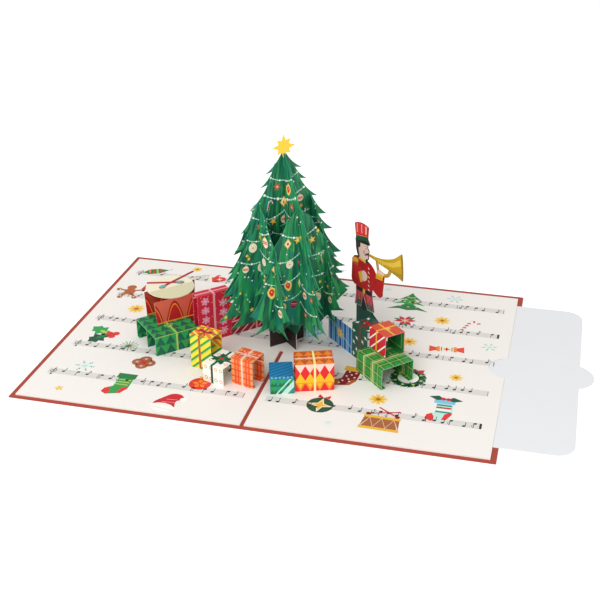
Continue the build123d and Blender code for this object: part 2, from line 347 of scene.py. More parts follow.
@dataclass(frozen=True)
class InkFinish:
    """Offset ink on coated card: a dry film that follows the fibres, with a faint satin gloss."""

    ink: Ink
    roughness: float = 0.5

    def build(self) -> bpy.types.Material:
        """Make the finish, once for each ink."""
        name = "ink_" + self.ink.name.lower()
        if name in bpy.data.materials:
            return bpy.data.materials[name]
        surface = Surface(name, self.roughness)
        return surface.finish(surface.fibres(linear(self.ink.value)))


@dataclass(frozen=True)
class PlainCard:
    """Uncoated card or paper: matt, with long soft fibres and a slightly cloudy tone."""

    name: str
    colour: str
    roughness: float = 0.8
    mottle: float = 0.02

    def build(self) -> bpy.types.Material:
        """Make the finish."""
        surface = Surface(self.name, self.roughness)
        # Clouds in the sheet are about 12 mm across, as held against the light
        cloud = surface.add("TexNoise", {"Vector": surface.place, "Scale": 1 / 12, "Detail": 2.0})
        share = surface.add("MapRange", {"Value": cloud, "To Min": 1 - self.mottle, "To Max": 1 + self.mottle})
        tone = surface.add("VectorMath", {0: linear(self.colour), "Scale": share}, operation="SCALE")
        return surface.finish(surface.fibres(tone, self.mottle, size=0.3, bump=0.02))


@dataclass(frozen=True)
class Stripes:
    """Even stripes of one ink. Pitch and offset are in millimetres, the slant in degrees."""

    ink: Ink
    pitch: float
    share: float = 0.5
    slant: float = 0.0
    offset: float = 0.0
    lowest: float = -1.0
    highest: float = 1000.0

    def mask(self, surface: Surface, u: Value, v: Value) -> Socket:
        """One on a stripe, nought between.

        Args:
            surface: finish that the stripes belong to.
            u: distance along the wall, in millimetres.
            v: distance up it.

        Returns:
            The mask.
        """
        turn = math.radians(self.slant)
        across = surface.add("Math", {0: u, 1: math.cos(turn) / self.pitch}, operation="MULTIPLY")
        rise = surface.add("Math", {0: v, 1: math.sin(turn) / self.pitch, 2: across}, operation="MULTIPLY_ADD")
        step = surface.add("Math", {0: rise, 1: self.offset / self.pitch}, operation="ADD")
        cycle = surface.add("Math", {0: step}, operation="FRACT")
        stripe = surface.add("Math", {0: cycle, 1: self.share}, operation="LESS_THAN")
        limits = surface.between(v, self.lowest, self.highest)
        return surface.add("Math", {0: stripe, 1: limits}, operation="MULTIPLY")


@dataclass(frozen=True)
class Band:
    """One straight band, such as a printed ribbon, between two distances along u or v."""

    ink: Ink
    middle: float
    width: float
    upright: bool = True
    lowest: float = -1.0
    highest: float = 1000.0

    def mask(self, surface: Surface, u: Value, v: Value) -> Socket:
        """One on the band.

        Args:
            surface: finish that the band belongs to.
            u: distance along the wall, in millimetres.
            v: distance up it.

        Returns:
            The mask.
        """
        across, run = (u, v) if self.upright else (v, u)
        near = surface.add("Math", {0: across, 1: self.middle, 2: self.width / 2}, operation="COMPARE")
        ends = surface.between(run, self.lowest, self.highest)
        return surface.add("Math", {0: near, 1: ends}, operation="MULTIPLY")


@dataclass(frozen=True)
class Spots:
    """Round spots or rings on a staggered grid. Sizes are in millimetres."""

    ink: Ink
    pitch: float
    radius: float
    hole: float = 0.0
    shift: Point = (0.0, 0.0)

    def mask(self, surface: Surface, u: Value, v: Value) -> Socket:
        """One on a spot.

        Args:
            surface: finish that the spots belong to.
            u: distance along the wall, in millimetres.
            v: distance up it.

        Returns:
            The mask.
        """
        row = surface.add("Math", {0: v, 1: 1 / self.pitch, 2: self.shift[1]}, operation="MULTIPLY_ADD")
        whole = surface.add("Math", {0: row}, operation="FLOOR")
        stagger = surface.add("Math", {0: whole, 1: 0.5, 2: self.shift[0]}, operation="MULTIPLY_ADD")
        column = surface.add("Math", {0: u, 1: 1 / self.pitch, 2: stagger}, operation="MULTIPLY_ADD")
        distance: Value = 0.0
        for cell in (row, column):
            cycle = surface.add("Math", {0: cell}, operation="FRACT")
            offset = surface.add("Math", {0: cycle, 1: 0.5}, operation="SUBTRACT")
            distance = surface.add("Math", {0: offset, 1: offset, 2: distance}, operation="MULTIPLY_ADD")
        reach = surface.add("Math", {0: distance}, operation="SQRT")
        middle = (self.radius + self.hole) / 2 / self.pitch
        band = (self.radius - self.hole) / 2 / self.pitch
        return surface.add("Math", {0: reach, 1: middle, 2: band}, operation="COMPARE")


@dataclass(frozen=True)
class Lozenges:
    """Diamonds on a grid, or rows of triangles where only their upper or lower half is kept."""

    ink: Ink
    pitch: float
    rise: float
    size: float = 0.5
    half: int = 0
    shift: Point = (0.0, 0.0)
    lowest: float = -1.0
    highest: float = 1000.0

    def mask(self, surface: Surface, u: Value, v: Value) -> Socket:
        """One on a diamond or triangle.

        Args:
            surface: finish that the diamonds belong to.
            u: distance along the wall, in millimetres.
            v: distance up it.

        Returns:
            The mask.
        """
        column = surface.repeat(u, self.pitch, self.shift[0])
        across = surface.add("Math", {0: column}, operation="ABSOLUTE")
        rise = surface.repeat(v, self.rise, self.shift[1])
        if self.half:
            height = surface.add("Math", {0: rise, 1: 0.5 * self.half}, operation="ADD")
            rise = surface.add("Math", {0: height, 1: 0.5 * self.half}, operation="MULTIPLY")
        rise = surface.add("Math", {0: rise}, operation="ABSOLUTE")
        reach = surface.add("Math", {0: across, 1: rise}, operation="ADD")
        inside = surface.add("Math", {0: reach, 1: self.size}, operation="LESS_THAN")
        rows = surface.between(v, self.lowest, self.highest)
        return surface.add("Math", {0: inside, 1: rows}, operation="MULTIPLY")


Pattern = Union[Stripes, Band, Spots, Lozenges]


@dataclass(frozen=True)
class Face:
    """One flat printed side, seen from in front of it."""

    corner: Vector
    right: Vector
    up: Vector
    width: float
    height: float

    @property
    def normal(self) -> Vector:
        """Direction that the side looks along."""
        return self.right.cross(self.up)

    def point(self, u: float, v: float, out: float = 0.0) -> Vector:
        """Point on the side, in millimetres, some way out from it."""
        return self.corner + self.right * u + self.up * v + self.normal * out

    def matrix(self, u: float, v: float, size: float, turn: float) -> Matrix:
        """Place of a stamp.

        Args:
            u: to the right, in millimetres.
            v: upwards, in millimetres.
            size: scale of the stamp.
            turn: anticlockwise, in degrees.

        Returns:
            Matrix from the stamp's own metres to the object's.
        """
        angle = math.radians(turn)
        across = (self.right * math.cos(angle) + self.up * math.sin(angle)) * size
        rise = (self.up * math.cos(angle) - self.right * math.sin(angle)) * size
        axes = Matrix((across, rise, self.normal)).transposed().to_4x4()
        return Matrix.Translation(self.point(u, v) * MM) @ axes


class Standing:
    """Where an upright piece stands, measured on its frame node along its own heading."""

    def __init__(self, node: str, heading: float) -> None:
        """Measure a node.

        Args:
            node: name in the frame.
            heading: of its walls on the page, in degrees.
        """
        turn = math.radians(heading)
        self.node = node
        self.piece = FRAME["nodes"][node]
        self.run = Vector((math.cos(turn), math.sin(turn), 0.0))
        self.back = Vector((-math.sin(turn), math.cos(turn), 0.0))
        spans = []
        for direction in (self.run, self.back, UP):
            reaches = [vertex.co.dot(direction) / MM for vertex in self.piece.data.vertices]
            spans.append((min(reaches), max(reaches)))
        (self.left, right), (self.front, rear), (self.foot, top) = spans
        self.width, self.depth, self.height = right - self.left, rear - self.front, top - self.foot

    def front_face(self, left: Optional[float] = None) -> Face:
        """Side towards the viewer, counted from its left end or a given distance along the run."""
        start = self.left if left is None else left
        corner = self.run * start + self.back * self.front + UP * self.foot
        return Face(corner, self.run, UP, self.width, self.height)

    def rear_face(self, right: Optional[float] = None) -> Face:
        """Side away from the viewer, seen from behind."""
        start = self.left + self.width if right is None else right
        corner = self.run * start + self.back * (self.front + self.depth) + UP * self.foot
        return Face(corner, -self.run, UP, self.width, self.height)

    def top_face(self) -> Face:
        """Top side, with its own up towards the rear."""
        corner = self.run * self.left + self.back * self.front + UP * (self.foot + self.height)
        return Face(corner, self.run, self.back, self.width, self.depth)


@dataclass(frozen=True)
class WrappingPaper:
    """Printed gift wrap on coated card, folded over the front, top and rear wall of a gift."""

    node: str
    heading: float
    ground: Ink
    patterns: tuple[Pattern, ...] = ()
    lining: Optional[Ink] = None
    lining_patterns: tuple[Pattern, ...] = ()
    roughness: float = 0.48
    core: str = "F4EFE6"
    # Share of the core that shows at a cut edge, where ink has crept over it
    bare: float = 0.45

    def layers(
        self, surface: Surface, u: Value, v: Value, ground: Ink, patterns: Sequence[Pattern]
    ) -> Socket:
        """Print patterns over a ground, in order.

        Args:
            surface: finish that they belong to.
            u: distance along the wall, in millimetres.
            v: distance up it.
            ground: ink below the patterns.
            patterns: printed one over another.

        Returns:
            The printed colour.
        """
        colour: Value = linear(ground.value)
        for pattern in patterns:
            colour = surface.blend(pattern.mask(surface, u, v), colour, linear(pattern.ink.value))
        return colour

    def build(self) -> bpy.types.Material:
        """Make the finish, with v running up the front wall and on over the top."""
        place = Standing(self.node, self.heading)
        surface = Surface(self.node + "_wrap", self.roughness)
        u = surface.along(place.run, place.left)
        rise = surface.along(UP, place.foot)
        behind = surface.along(place.back, place.front)
        v = surface.add("Math", {0: rise, 1: behind}, operation="ADD")
        colour = self.layers(surface, u, v, self.ground, self.patterns)
        if self.lining:
            inner = self.layers(surface, u, rise, self.lining, self.lining_patterns)
            mask = surface.inside(place.back, behind, place.depth, rise)
            colour = surface.blend(mask, colour, inner)
        colour = surface.cut_edges(colour, (place.back, UP), self.ground.tint(self.core, self.bare))
        return surface.finish(surface.fibres(colour))


@dataclass(frozen=True)
class PaintedNeedles:
    """Printed foliage: brushed greens that fan out from the tree's top, on a brown trunk."""

    node: str
    heading: float
    trunk_height: float = 10.2
    trunk_half_width: float = 11.2
    trunk_core: str = "D8CFC2"
    # Strokes fan out from a point above the tree's top, in millimetres above the page
    fan_height: float = 150.0
    # They spread faster than straight rays, so that low leaves lie flatter
    spread: float = 1.35
    # Strokes are 3 to 6 mm wide at the foot and about 25 mm long, and droop to the sides
    fan: float = 150.0
    length: float = 0.045
    droop: float = 0.9
    # Each slice and each tone gets strokes of its own by a step through the noise
    slice_step: float = 0.37
    tone_step: float = 3.7
    softness: float = 0.04
    core: str = "2C8A5E"
    ground: str = "15714C"
    # Colour, grain of the stroke, and the share of the leaf that it leaves bare
    strokes: tuple[tuple[str, float, float], ...] = (
        ("0D5B45", 0.8, 0.50),
        ("178070", 0.6, 0.56),
        ("1F8650", 1.1, 0.52),
        ("0E523E", 1.5, 0.59),
        ("2E9E58", 1.2, 0.60),
        ("63B765", 2.2, 0.69),
    )

    def build(self) -> bpy.types.Material:
        """Make the finish."""
        place = Standing(self.node, self.heading)
        surface = Surface(self.node + "_needles", 0.5)
        u = surface.along(place.run, place.left + place.width / 2)
        height = surface.along(UP, PAGE_TOP)
        aside = surface.add("Math", {0: u}, operation="ABSOLUTE")
        drop = surface.add("Math", {0: self.fan_height, 1: height}, operation="SUBTRACT")
        steep = surface.add("Math", {0: drop, 1: self.spread}, operation="POWER")
        ray = surface.add("Math", {0: u, 1: steep}, operation="DIVIDE")
        fan = surface.add("Math", {0: ray, 1: self.fan}, operation="MULTIPLY")
        down = surface.add("Math", {0: aside, 1: self.droop, 2: drop}, operation="MULTIPLY_ADD")
        length = surface.add("Math", {0: down, 1: self.length}, operation="MULTIPLY")
        leaves = surface.add("CombineXYZ", {0: fan, 1: length, 2: place.front * self.slice_step})
        colour: Value = linear(self.ground)
        for index, (tone, scale, level) in enumerate(self.strokes):
            noise = {"Vector": leaves, "W": self.tone_step * index, "Scale": scale, "Detail": 1.5, "Roughness": 0.5}
            brush = surface.add("TexNoise", noise, noise_dimensions="4D")
            span = {"Value": brush, "From Min": level - self.softness, "From Max": level + self.softness}
            colour = surface.blend(surface.add("MapRange", span), colour, linear(tone))
        bark = surface.add("Math", {0: height, 1: self.trunk_height}, operation="LESS_THAN")
        middle = surface.add("Math", {0: aside, 1: self.trunk_half_width}, operation="LESS_THAN")
        foot = surface.add("Math", {0: bark, 1: middle}, operation="MULTIPLY")
        edged = surface.cut_edges(colour, (place.back,), self.core)
        trunk = surface.cut_edges(linear(Ink.TRUNK.value), (place.back,), self.trunk_core)
        colour = surface.blend(foot, edged, trunk)
        return surface.finish(surface.fibres(colour))


def select_only(*pieces: Piece) -> None:
    """Select these pieces alone and make the first active."""
    bpy.ops.object.select_all(action="DESELECT")
    for piece in pieces:
        piece.select_set(True)
    bpy.context.view_layer.objects.active = pieces[0]


class Plate:
    """Models flat inked shapes, in millimetres about their own middle, as closed slabs of ink."""

    def slab(self, ink: Ink, layer: int, at: Point, turn: float, stretch: Point) -> Piece:
        """Give the active flat shape its place, thickness and ink.

        Args:
            ink: of the shape.
            layer: printing pass, from one.
            at: place in the motif.
            turn: anticlockwise, in degrees.
            stretch: scale across and up, before the turn.

        Returns:
            The finished shape.
        """
        piece = bpy.context.active_object
        scale = Matrix.Diagonal((stretch[0], stretch[1], 1.0, 1.0))
        piece.data.transform(Matrix.Rotation(math.radians(turn), 4, "Z") @ scale)
        piece.data.transform(Matrix.Translation((at[0] * MM, at[1] * MM, -INK_SINK * MM)))
        if sum(polygon.normal.z for polygon in piece.data.polygons) < 0:
            piece.data.flip_normals()
        thickness = piece.modifiers.new("ink", "SOLIDIFY")
        thickness.thickness = (INK_SINK + layer * INK_STEP) * MM
        thickness.offset = 1.0
        bpy.ops.object.modifier_apply(modifier=thickness.name)
        piece.data.materials.clear()
        piece.data.materials.append(InkFinish(ink).build())
        return piece

    def disc(
        self,
        ink: Ink,
        radius: float,
        layer: int = 1,
        at: Point = (0, 0),
        turn: float = 0,
        stretch: Point = (1, 1),
        sides: int = 14,
    ) -> Piece:
        """A round or oval shape."""
        bpy.ops.mesh.primitive_circle_add(vertices=sides, radius=radius * MM, fill_type="NGON")
        return self.slab(ink, layer, at, turn, stretch)

    def bar(
        self, ink: Ink, width: float, height: float, layer: int = 1, at: Point = (0, 0), turn: float = 0
    ) -> Piece:
        """A straight bar."""
        bpy.ops.mesh.primitive_plane_add(size=MM)
        return self.slab(ink, layer, at, turn, (width, height))

    def star(
        self, ink: Ink, points: int, reach: float, valley: float, layer: int = 1, at: Point = (0, 0), turn: float = 0
    ) -> Piece:
        """A star: a ring of vertices with every other one drawn in.

        Args:
            ink: of the shape.
            points: number of its rays.
            reach: of a ray from the middle, in millimetres.
            valley: distance of the notches between rays.
            layer: printing pass, from one.
            at: place in the motif.
            turn: anticlockwise, in degrees.

        Returns:
            The finished shape.
        """
        bpy.ops.mesh.primitive_circle_add(vertices=2 * points, radius=reach * MM, fill_type="NGON")
        piece = bpy.context.active_object
        bpy.ops.object.mode_set(mode="EDIT")
        bpy.ops.mesh.select_mode(type="VERT")
        bpy.ops.mesh.select_all(action="DESELECT")
        bpy.ops.object.mode_set(mode="OBJECT")
        for vertex in piece.data.vertices:
            vertex.select = vertex.index % 2 == 1
        bpy.ops.object.mode_set(mode="EDIT")
        share = valley / reach
        bpy.ops.transform.resize(value=(share, share, 1.0), center_override=(0.0, 0.0, 0.0))
        bpy.ops.object.mode_set(mode="OBJECT")
        return self.slab(ink, layer, at, turn, (1, 1))

    def outline(
        self,
        ink: Ink,
        points: Sequence[Point],
        layer: int = 1,
        at: Point = (0, 0),
        turn: float = 0,
        stretch: Point = (1, 1),
        smooth: bool = False,
    ) -> Piece:
        """A free outline, straight or rounded between its points.

        Args:
            ink: of the shape.
            points: in order round the shape, in millimetres.
            layer: printing pass, from one.
            at: place in the motif.
            turn: anticlockwise, in degrees.
            stretch: scale across and up, before the turn.
            smooth: whether it is rounded at its points.

        Returns:
            The finished shape.
        """
        curve = bpy.data.curves.new("outline", "CURVE")
        curve.dimensions = "2D"
        curve.fill_mode = "FRONT"
        curve.resolution_u = 4
        spline = curve.splines.new("BEZIER")
        spline.bezier_points.add(len(points) - 1)
        for knot, point in zip(spline.bezier_points, points):
            knot.co = (point[0] * MM, point[1] * MM, 0.0)
            knot.handle_left_type = knot.handle_right_type = "AUTO" if smooth else "VECTOR"
        spline.use_cyclic_u = True
        piece = bpy.data.objects.new("outline", curve)
        bpy.context.scene.collection.objects.link(piece)
        select_only(piece)
        bpy.ops.object.convert(target="MESH")
        select_only(bpy.context.active_object)
        bpy.ops.object.mode_set(mode="EDIT")
        bpy.ops.mesh.select_all(action="SELECT")
        bpy.ops.mesh.remove_doubles(threshold=0.005 * MM)
        bpy.ops.object.mode_set(mode="OBJECT")
        return self.slab(ink, layer, at, turn, stretch)

    def stroke(
        self, ink: Ink, points: Sequence[Point], width: float, layer: int = 1, at: Point = (0, 0), turn: float = 0
    ) -> Piece:
        """A drawn line of even width, flattened to the ink's thickness.

        Args:
            ink: of the shape.
            points: in order along the line, in millimetres.
            width: in millimetres.
            layer: printing pass, from one.
            at: place in the motif.
            turn: anticlockwise, in degrees.

        Returns:
            The finished shape.
        """
        curve = bpy.data.curves.new("stroke", "CURVE")
        curve.dimensions = "3D"
        curve.bevel_depth = width / 2 * MM
        curve.bevel_resolution = 0
        curve.use_fill_caps = True
        spline = curve.splines.new("POLY")
        spline.points.add(len(points) - 1)
        for knot, point in zip(spline.points, points):
            knot.co = (point[0] * MM, point[1] * MM, 0.0, 1.0)
        piece = bpy.data.objects.new("stroke", curve)
        bpy.context.scene.collection.objects.link(piece)
        select_only(piece)
        bpy.ops.object.convert(target="MESH")
        piece = bpy.context.active_object
        flat = 2 * (INK_SINK + layer * INK_STEP) / width
        piece.data.transform(Matrix.Rotation(math.radians(turn), 4, "Z") @ Matrix.Diagonal((1, 1, flat, 1)))
        piece.data.transform(Matrix.Translation((at[0] * MM, at[1] * MM, -INK_SINK * MM)))
        piece.data.materials.clear()
        piece.data.materials.append(InkFinish(ink).build())
        return piece

    def motif(self, name: str, *shapes: Piece) -> Piece:
        """Join shapes into one motif, kept aside and never shown itself.

        Args:
            name: of the motif.
            shapes: that it is made of.

        Returns:
            The motif, in no collection.
        """
        select_only(*shapes)
        if len(shapes) > 1:
            bpy.ops.object.join()
        motif = bpy.context.active_object
        motif.name = "motif_" + name
        for collection in list(motif.users_collection):
            collection.objects.unlink(motif)
        return motif


class Print:
    """Everything printed on one carrier, joined into one thin piece at the end."""

    def __init__(self, name: str, slot: str) -> None:
        """Start a print.

        Args:
            name: of the finished piece.
            slot: the record's slot of the carrier, kept with the print but not used.
        """
        self.name = name
        self.slot = slot
        self.stamps: list[Piece] = []

    def stamp(
        self, motif: Piece, face: Face, at: Point, size: float = 1.0, turn: float = 0.0
    ) -> None:
        """Stamp a motif on a face.

        Args:
            motif: kept motif.
            face: side that carries it.
            at: place on the side, in millimetres.
            size: scale.
            turn: anticlockwise, in degrees.
        """
        copy = motif.copy()
        copy.data = motif.data.copy()
        copy.data.transform(face.matrix(at[0], at[1], size, turn))
        self.stamps.append(copy)

    def finish(self) -> None:
        """Join the stamps, and let the print ride on the card."""
        if not self.stamps:
            return
        for stamp in self.stamps:
            bpy.context.scene.collection.objects.link(stamp)
        select_only(*self.stamps)
        if len(self.stamps) > 1:
            bpy.ops.object.join()
        piece = bpy.context.active_object
        piece.name = self.name
        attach(piece, "card")
        LOG.info("%s: %d stamps, %d faces", self.name, len(self.stamps), len(piece.data.polygons))


def ring(count: int, radius: float, start: float = 0.0) -> list[tuple[Point, float]]:
    """Even places round a circle.

    Args:
        count: number of places.
        radius: of the circle.
        start: heading of the first, in degrees.

    Returns:
        Each place with its heading in degrees.
    """
    places = []
    for index in range(count):
        heading = start + 360 * index / count
        angle = math.radians(heading)
        places.append(((radius * math.cos(angle), radius * math.sin(angle)), heading))
    return places


@dataclass
class Motifs(Plate):
    """Generic holiday ornaments, each modelled once at a size of about ten millimetres."""

    made: dict[str, Piece] = field(default_factory=dict)

    def get(self, name: str) -> Piece:
        """A motif by name, modelled when it is first asked for."""
        if name not in self.made:
            self.made[name] = self.motif(name, *getattr(self, name)())
        return self.made[name]

    def white_dot(self) -> Shapes:
        """A dot of snow, 1 mm across."""
        return [self.disc(Ink.WHITE, 0.5, 2, sides=8)]

    def pale_dot(self) -> Shapes:
        """A pale blue green dot, 1 mm across."""
        return [self.disc(Ink.PALE_TEAL, 0.5, 2, sides=8)]

    def gold_star(self) -> Shapes:
        """A five pointed star."""
        return [
            self.star(Ink.GOLD, 5, 5.0, 2.2, 2, turn=90),
            self.star(Ink.LIGHT_GOLD, 5, 2.8, 1.3, 3, turn=90),
        ]

    def sun_star(self) -> Shapes:
        """A sixteen rayed star with a small star in its middle."""
        return [
            self.star(Ink.LIGHT_GOLD, 16, 5.0, 2.6, 1),
            self.star(Ink.GOLD, 8, 4.6, 1.6, 2, turn=11),
            self.star(Ink.RUST, 8, 1.7, 0.7, 3),
        ]

    def swag(self) -> Shapes:
        """A hanging garland, 12 mm long, with small beads on its line and one at each end."""
        points = []
        for index in range(13):
            share = index / 12
            points.append((12 * share - 6, -8.0 * share * (1 - share)))
        shapes = [self.stroke(Ink.PALE_TEAL, points, 0.34, 2)]
        for index in range(1, 12):
            radius = 0.42 if index % 4 == 0 else 0.26
            ink = Ink.WHITE if index % 4 == 0 else Ink.PALE_TEAL
            shapes.append(self.disc(ink, radius, 3, points[index], sides=8))
        for end in (points[0], points[-1]):
            shapes.append(self.disc(Ink.WHITE, 0.36, 3, end, sides=8))
        return shapes

    def round_bauble(self) -> Shapes:
        """A cream bauble with a red band and a gold cap."""
        return [
            self.disc(Ink.CREAM, 4.0, 2, sides=20),
            self.bar(Ink.BRIGHT_RED, 7.0, 2.2, 3),
            self.bar(Ink.CREAM, 7.2, 0.4, 4),
            self.bar(Ink.GOLD, 1.6, 1.2, 3, (0, 4.3)),
            *[self.disc(Ink.GOLD, 0.45, 4, (x, 2.0), sides=6) for x in (-2.0, 0.0, 2.0)],
            *[self.disc(Ink.GOLD, 0.45, 4, (x, -2.0), sides=6) for x in (-2.0, 0.0, 2.0)],
        ]

    def red_bauble(self) -> Shapes:
        """A red bauble inside a gold rim, drawn out to a drop."""
        drop = [(0, -5.6), (2.6, -3.0), (3.6, 0.2), (2.5, 3.0), (0, 4.2), (-2.5, 3.0), (-3.6, 0.2), (-2.6, -3.0)]
        inner = [(x * 0.62, y * 0.62 + 0.2) for x, y in drop]
        return [
            self.outline(Ink.LIGHT_GOLD, drop, 2, smooth=True),
            self.outline(Ink.BRIGHT_RED, inner, 3, smooth=True),
            self.bar(Ink.GOLD, 1.4, 1.2, 3, (0, 4.6)),
            self.disc(Ink.CREAM, 0.5, 4, (0, 0.4), sides=8),
        ]

    def lozenge_bauble(self) -> Shapes:
        """A cream diamond with a gold rim and a red middle."""
        return [
            self.outline(Ink.GOLD, [(0, -5.2), (3.8, 0), (0, 5.2), (-3.8, 0)], 2),
            self.outline(Ink.CREAM, [(0, -4.0), (2.9, 0), (0, 4.0), (-2.9, 0)], 3),
            self.outline(Ink.RED, [(0, -2.0), (1.5, 0), (0, 2.0), (-1.5, 0)], 4),
        ]

    def cream_bauble(self) -> Shapes:
        """A cream bauble with gold dots."""
        return [
            self.disc(Ink.CREAM, 3.8, 2, sides=20, stretch=(1, 1.1)),
            *[self.disc(Ink.GOLD, 0.4, 3, at, sides=6) for at, _ in ring(6, 2.2)],
            self.disc(Ink.RED, 0.7, 3, sides=8),
            self.bar(Ink.GOLD, 1.4, 1.2, 3, (0, 4.6)),
        ]

    def dark_bauble(self) -> Shapes:
        """A dark red bauble with a pale stripe."""
        return [
            self.disc(Ink.DARK_RED, 3.6, 2, sides=18),
            self.bar(Ink.PINK, 6.4, 0.5, 3, (0, 0.7)),
            self.bar(Ink.PINK, 6.4, 0.3, 3, (0, -0.7)),
        ]

    def pink_flower(self) -> Shapes:
        """A dull red starry flower, as a far ornament."""
        return [self.star(Ink.BROWN, 6, 3.2, 1.8, 2), self.disc(Ink.PINK, 1.0, 3, sides=8)]

    def candy_cane(self) -> Shapes:
        """A white cane with red bands."""
        hook = [(1.8, 1.4), (1.7, 2.6), (0.9, 3.5), (-0.2, 3.8), (-1.2, 3.3), (-1.8, 2.3), (-1.8, -5.0)]
        shapes = [self.stroke(Ink.WHITE, hook, 1.3, 2)]
        for at, turn in (
            ((-1.8, -4.0), 30), ((-1.8, -2.2), 30), ((-1.8, -0.4), 30), ((-1.8, 1.4), 30), ((-0.8, 3.5), 110),
            ((1.2, 3.1), 40),
        ):
            shapes.append(self.bar(Ink.RED, 1.25, 0.75, 4, at, turn))
        return shapes

    def snowflake(self) -> Shapes:
        """A six armed snowflake with two barbs on each arm."""
        shapes = [self.star(Ink.PALE_TEAL, 6, 1.5, 0.7, 2)]
        for at, heading in ring(6, 2.4):
            shapes.append(self.bar(Ink.PALE_TEAL, 4.6, 0.45, 1, at, heading))
        for at, heading in ring(6, 3.3):
            for side in (-52, 52):
                shapes.append(self.bar(Ink.PALE_TEAL, 2.0, 0.4, 1, at, heading + side))
        for at, _ in ring(6, 4.7):
            shapes.append(self.disc(Ink.PALE_TEAL, 0.45, 1, at, sides=6))
        return shapes

    def pink_snowflake(self) -> Shapes:
        """A plump snowflake for gift wrap."""
        shapes = [self.star(Ink.FLAKE, 6, 3.9, 2.4, 2)]
        for at, _ in ring(6, 3.9):
            shapes.append(self.disc(Ink.FLAKE, 1.3, 1, at, sides=8))
        for at, _ in ring(6, 2.5, 30):
            shapes.append(self.disc(Ink.CRIMSON, 0.35, 3, at, sides=6))
        shapes.append(self.disc(Ink.PALE_PINK, 0.8, 3, sides=8))
        return shapes

    def white_sprig(self) -> Shapes:
        """A small white starry leaf for gift wrap."""
        rim = [(0, -4.6), (1.0, -0.8), (3.4, 0.4), (1.2, 1.0), (0, 4.6), (-1.2, 1.0), (-3.4, 0.4), (-1.0, -0.8)]
        return [self.outline(Ink.WHITE, rim, 1)]

    def clef(self) -> Shapes:
        """A curled sign at the start of a stave."""
        curl = []
        for step in range(15):
            angle = math.radians(-60 + 36 * step)
            reach = 0.5 + 0.1 * step
            curl.append((reach * math.cos(angle), reach * math.sin(angle)))
        return [
            self.stroke(Ink.NOTE, curl, 0.7, 1),
            self.stroke(Ink.NOTE, [(0.5, -3.2), (-0.2, -3.6), (0.2, 0.0), (0.3, 3.6), (1.0, 2.6), (0.2, 1.4)], 0.6, 2),
            self.disc(Ink.NOTE, 0.5, 2, (0.4, -3.0), sides=8),
        ]

    def leaf(self, ink: Ink, length: float, width: float, turn: float, layer: int = 1) -> Piece:
        """A holly leaf from its stalk outwards.

        Args:
            ink: of the shape.
            length: in millimetres.
            width: in millimetres.
            turn: anticlockwise, in degrees.
            layer: printing pass, from one.

        Returns:
            The finished shape.
        """
        side = [(0.0, 0.16), (0.16, 0.55), (0.3, 0.4), (0.44, 1.0), (0.6, 0.55), (0.76, 0.75), (0.84, 0.35)]
        upper = [(length * x, width / 2 * y) for x, y in side]
        lower = [(x, -y) for x, y in reversed(upper)]
        return self.outline(ink, upper + [(length, 0)] + lower, layer, turn=turn)

    def holly(self) -> Shapes:
        """Three holly leaves with red berries."""
        shapes = [
            self.leaf(Ink.LIT_GREEN, 8.2, 6.4, 152),
            self.leaf(Ink.LIME, 4.4, 2.2, 152, 2),
            self.leaf(Ink.DARK_GREEN, 8.0, 6.4, 232),
            self.leaf(Ink.GREEN, 5.0, 2.4, 232, 2),
        ]
        shapes += [self.disc(Ink.BRIGHT_RED, 1.25, 3, at, sides=10) for at in ((0.2, 0.5), (2.4, 0.9), (1.6, -1.2))]
        return shapes

    def pine(self) -> Shapes:
        """A printed pine of three tiers with gold garlands."""
        tiers = ((6.0, -5.4, 5.2), (4.6, -2.0, 4.6), (3.2, 1.0, 4.6))
        shapes = []
        for index, (half, low, rise) in enumerate(tiers):
            skirt = [
                (-half, low), (-half * 0.45, low + 0.7), (0, low), (half * 0.45, low + 0.7), (half, low),
                (half * 0.3, low + rise * 0.6), (0, low + rise),
            ]
            skirt.append((-half * 0.3, low + rise * 0.6))
            shapes.append(self.outline(Ink.LEAF if index % 2 else Ink.GREEN, skirt, 1 + index))
        for y, half in ((-3.4, 3.0), (-0.4, 2.0), (2.4, 1.1)):
            for step in (-1, 0, 1):
                shapes.append(self.disc(Ink.LIME, 0.42, 5, (half * step * 0.8, y + 0.25 * abs(step)), sides=6))
        return shapes

    def poinsettia(self) -> Shapes:
        """A red flower of two rings of pointed petals."""
        petal = [(0, 0), (1.6, 0.95), (3.2, 0.85), (4.9, 0), (3.2, -0.85), (1.6, -0.95)]
        shapes = [self.outline(Ink.GREEN, petal, 1, turn=heading, stretch=(1.15, 0.8)) for heading in (35, 155, 275)]
        shapes += [self.outline(Ink.RED, petal, 2, turn=heading) for _, heading in ring(6, 1)]
        shapes += [self.outline(Ink.PINK, petal, 3, turn=heading, stretch=(0.5, 0.5)) for _, heading in ring(6, 1, 30)]
        shapes.append(self.disc(Ink.LIGHT_GOLD, 0.8, 4, sides=8))
        return shapes

    def wreath(self) -> Shapes:
        """A ring of leaves with gold dots and a red bow."""
        leaf = [(-1.9, 0), (0, 0.9), (1.9, 0), (0, -0.9)]
        shapes = []
        for at, heading in ring(16, 3.8):
            shapes.append(self.outline(Ink.GREEN, leaf, 1, at, heading + 60))
        for at, heading in ring(16, 4.4, 11):
            shapes.append(self.outline(Ink.DARK_GREEN, leaf, 2, at, heading + 120, (0.8, 0.8)))
        shapes += [self.disc(Ink.LIME, 0.5, 3, at, sides=6) for at, _ in ring(8, 3.9)]
        for side in (-1, 1):
            loop = [(0, 4.3), (side * 2.6, 5.8), (side * 3.0, 3.4)]
            shapes.append(self.outline(Ink.RED, loop, 4))
        shapes.append(self.disc(Ink.DARK_RED, 0.7, 5, (0, 4.3), sides=8))
        return shapes

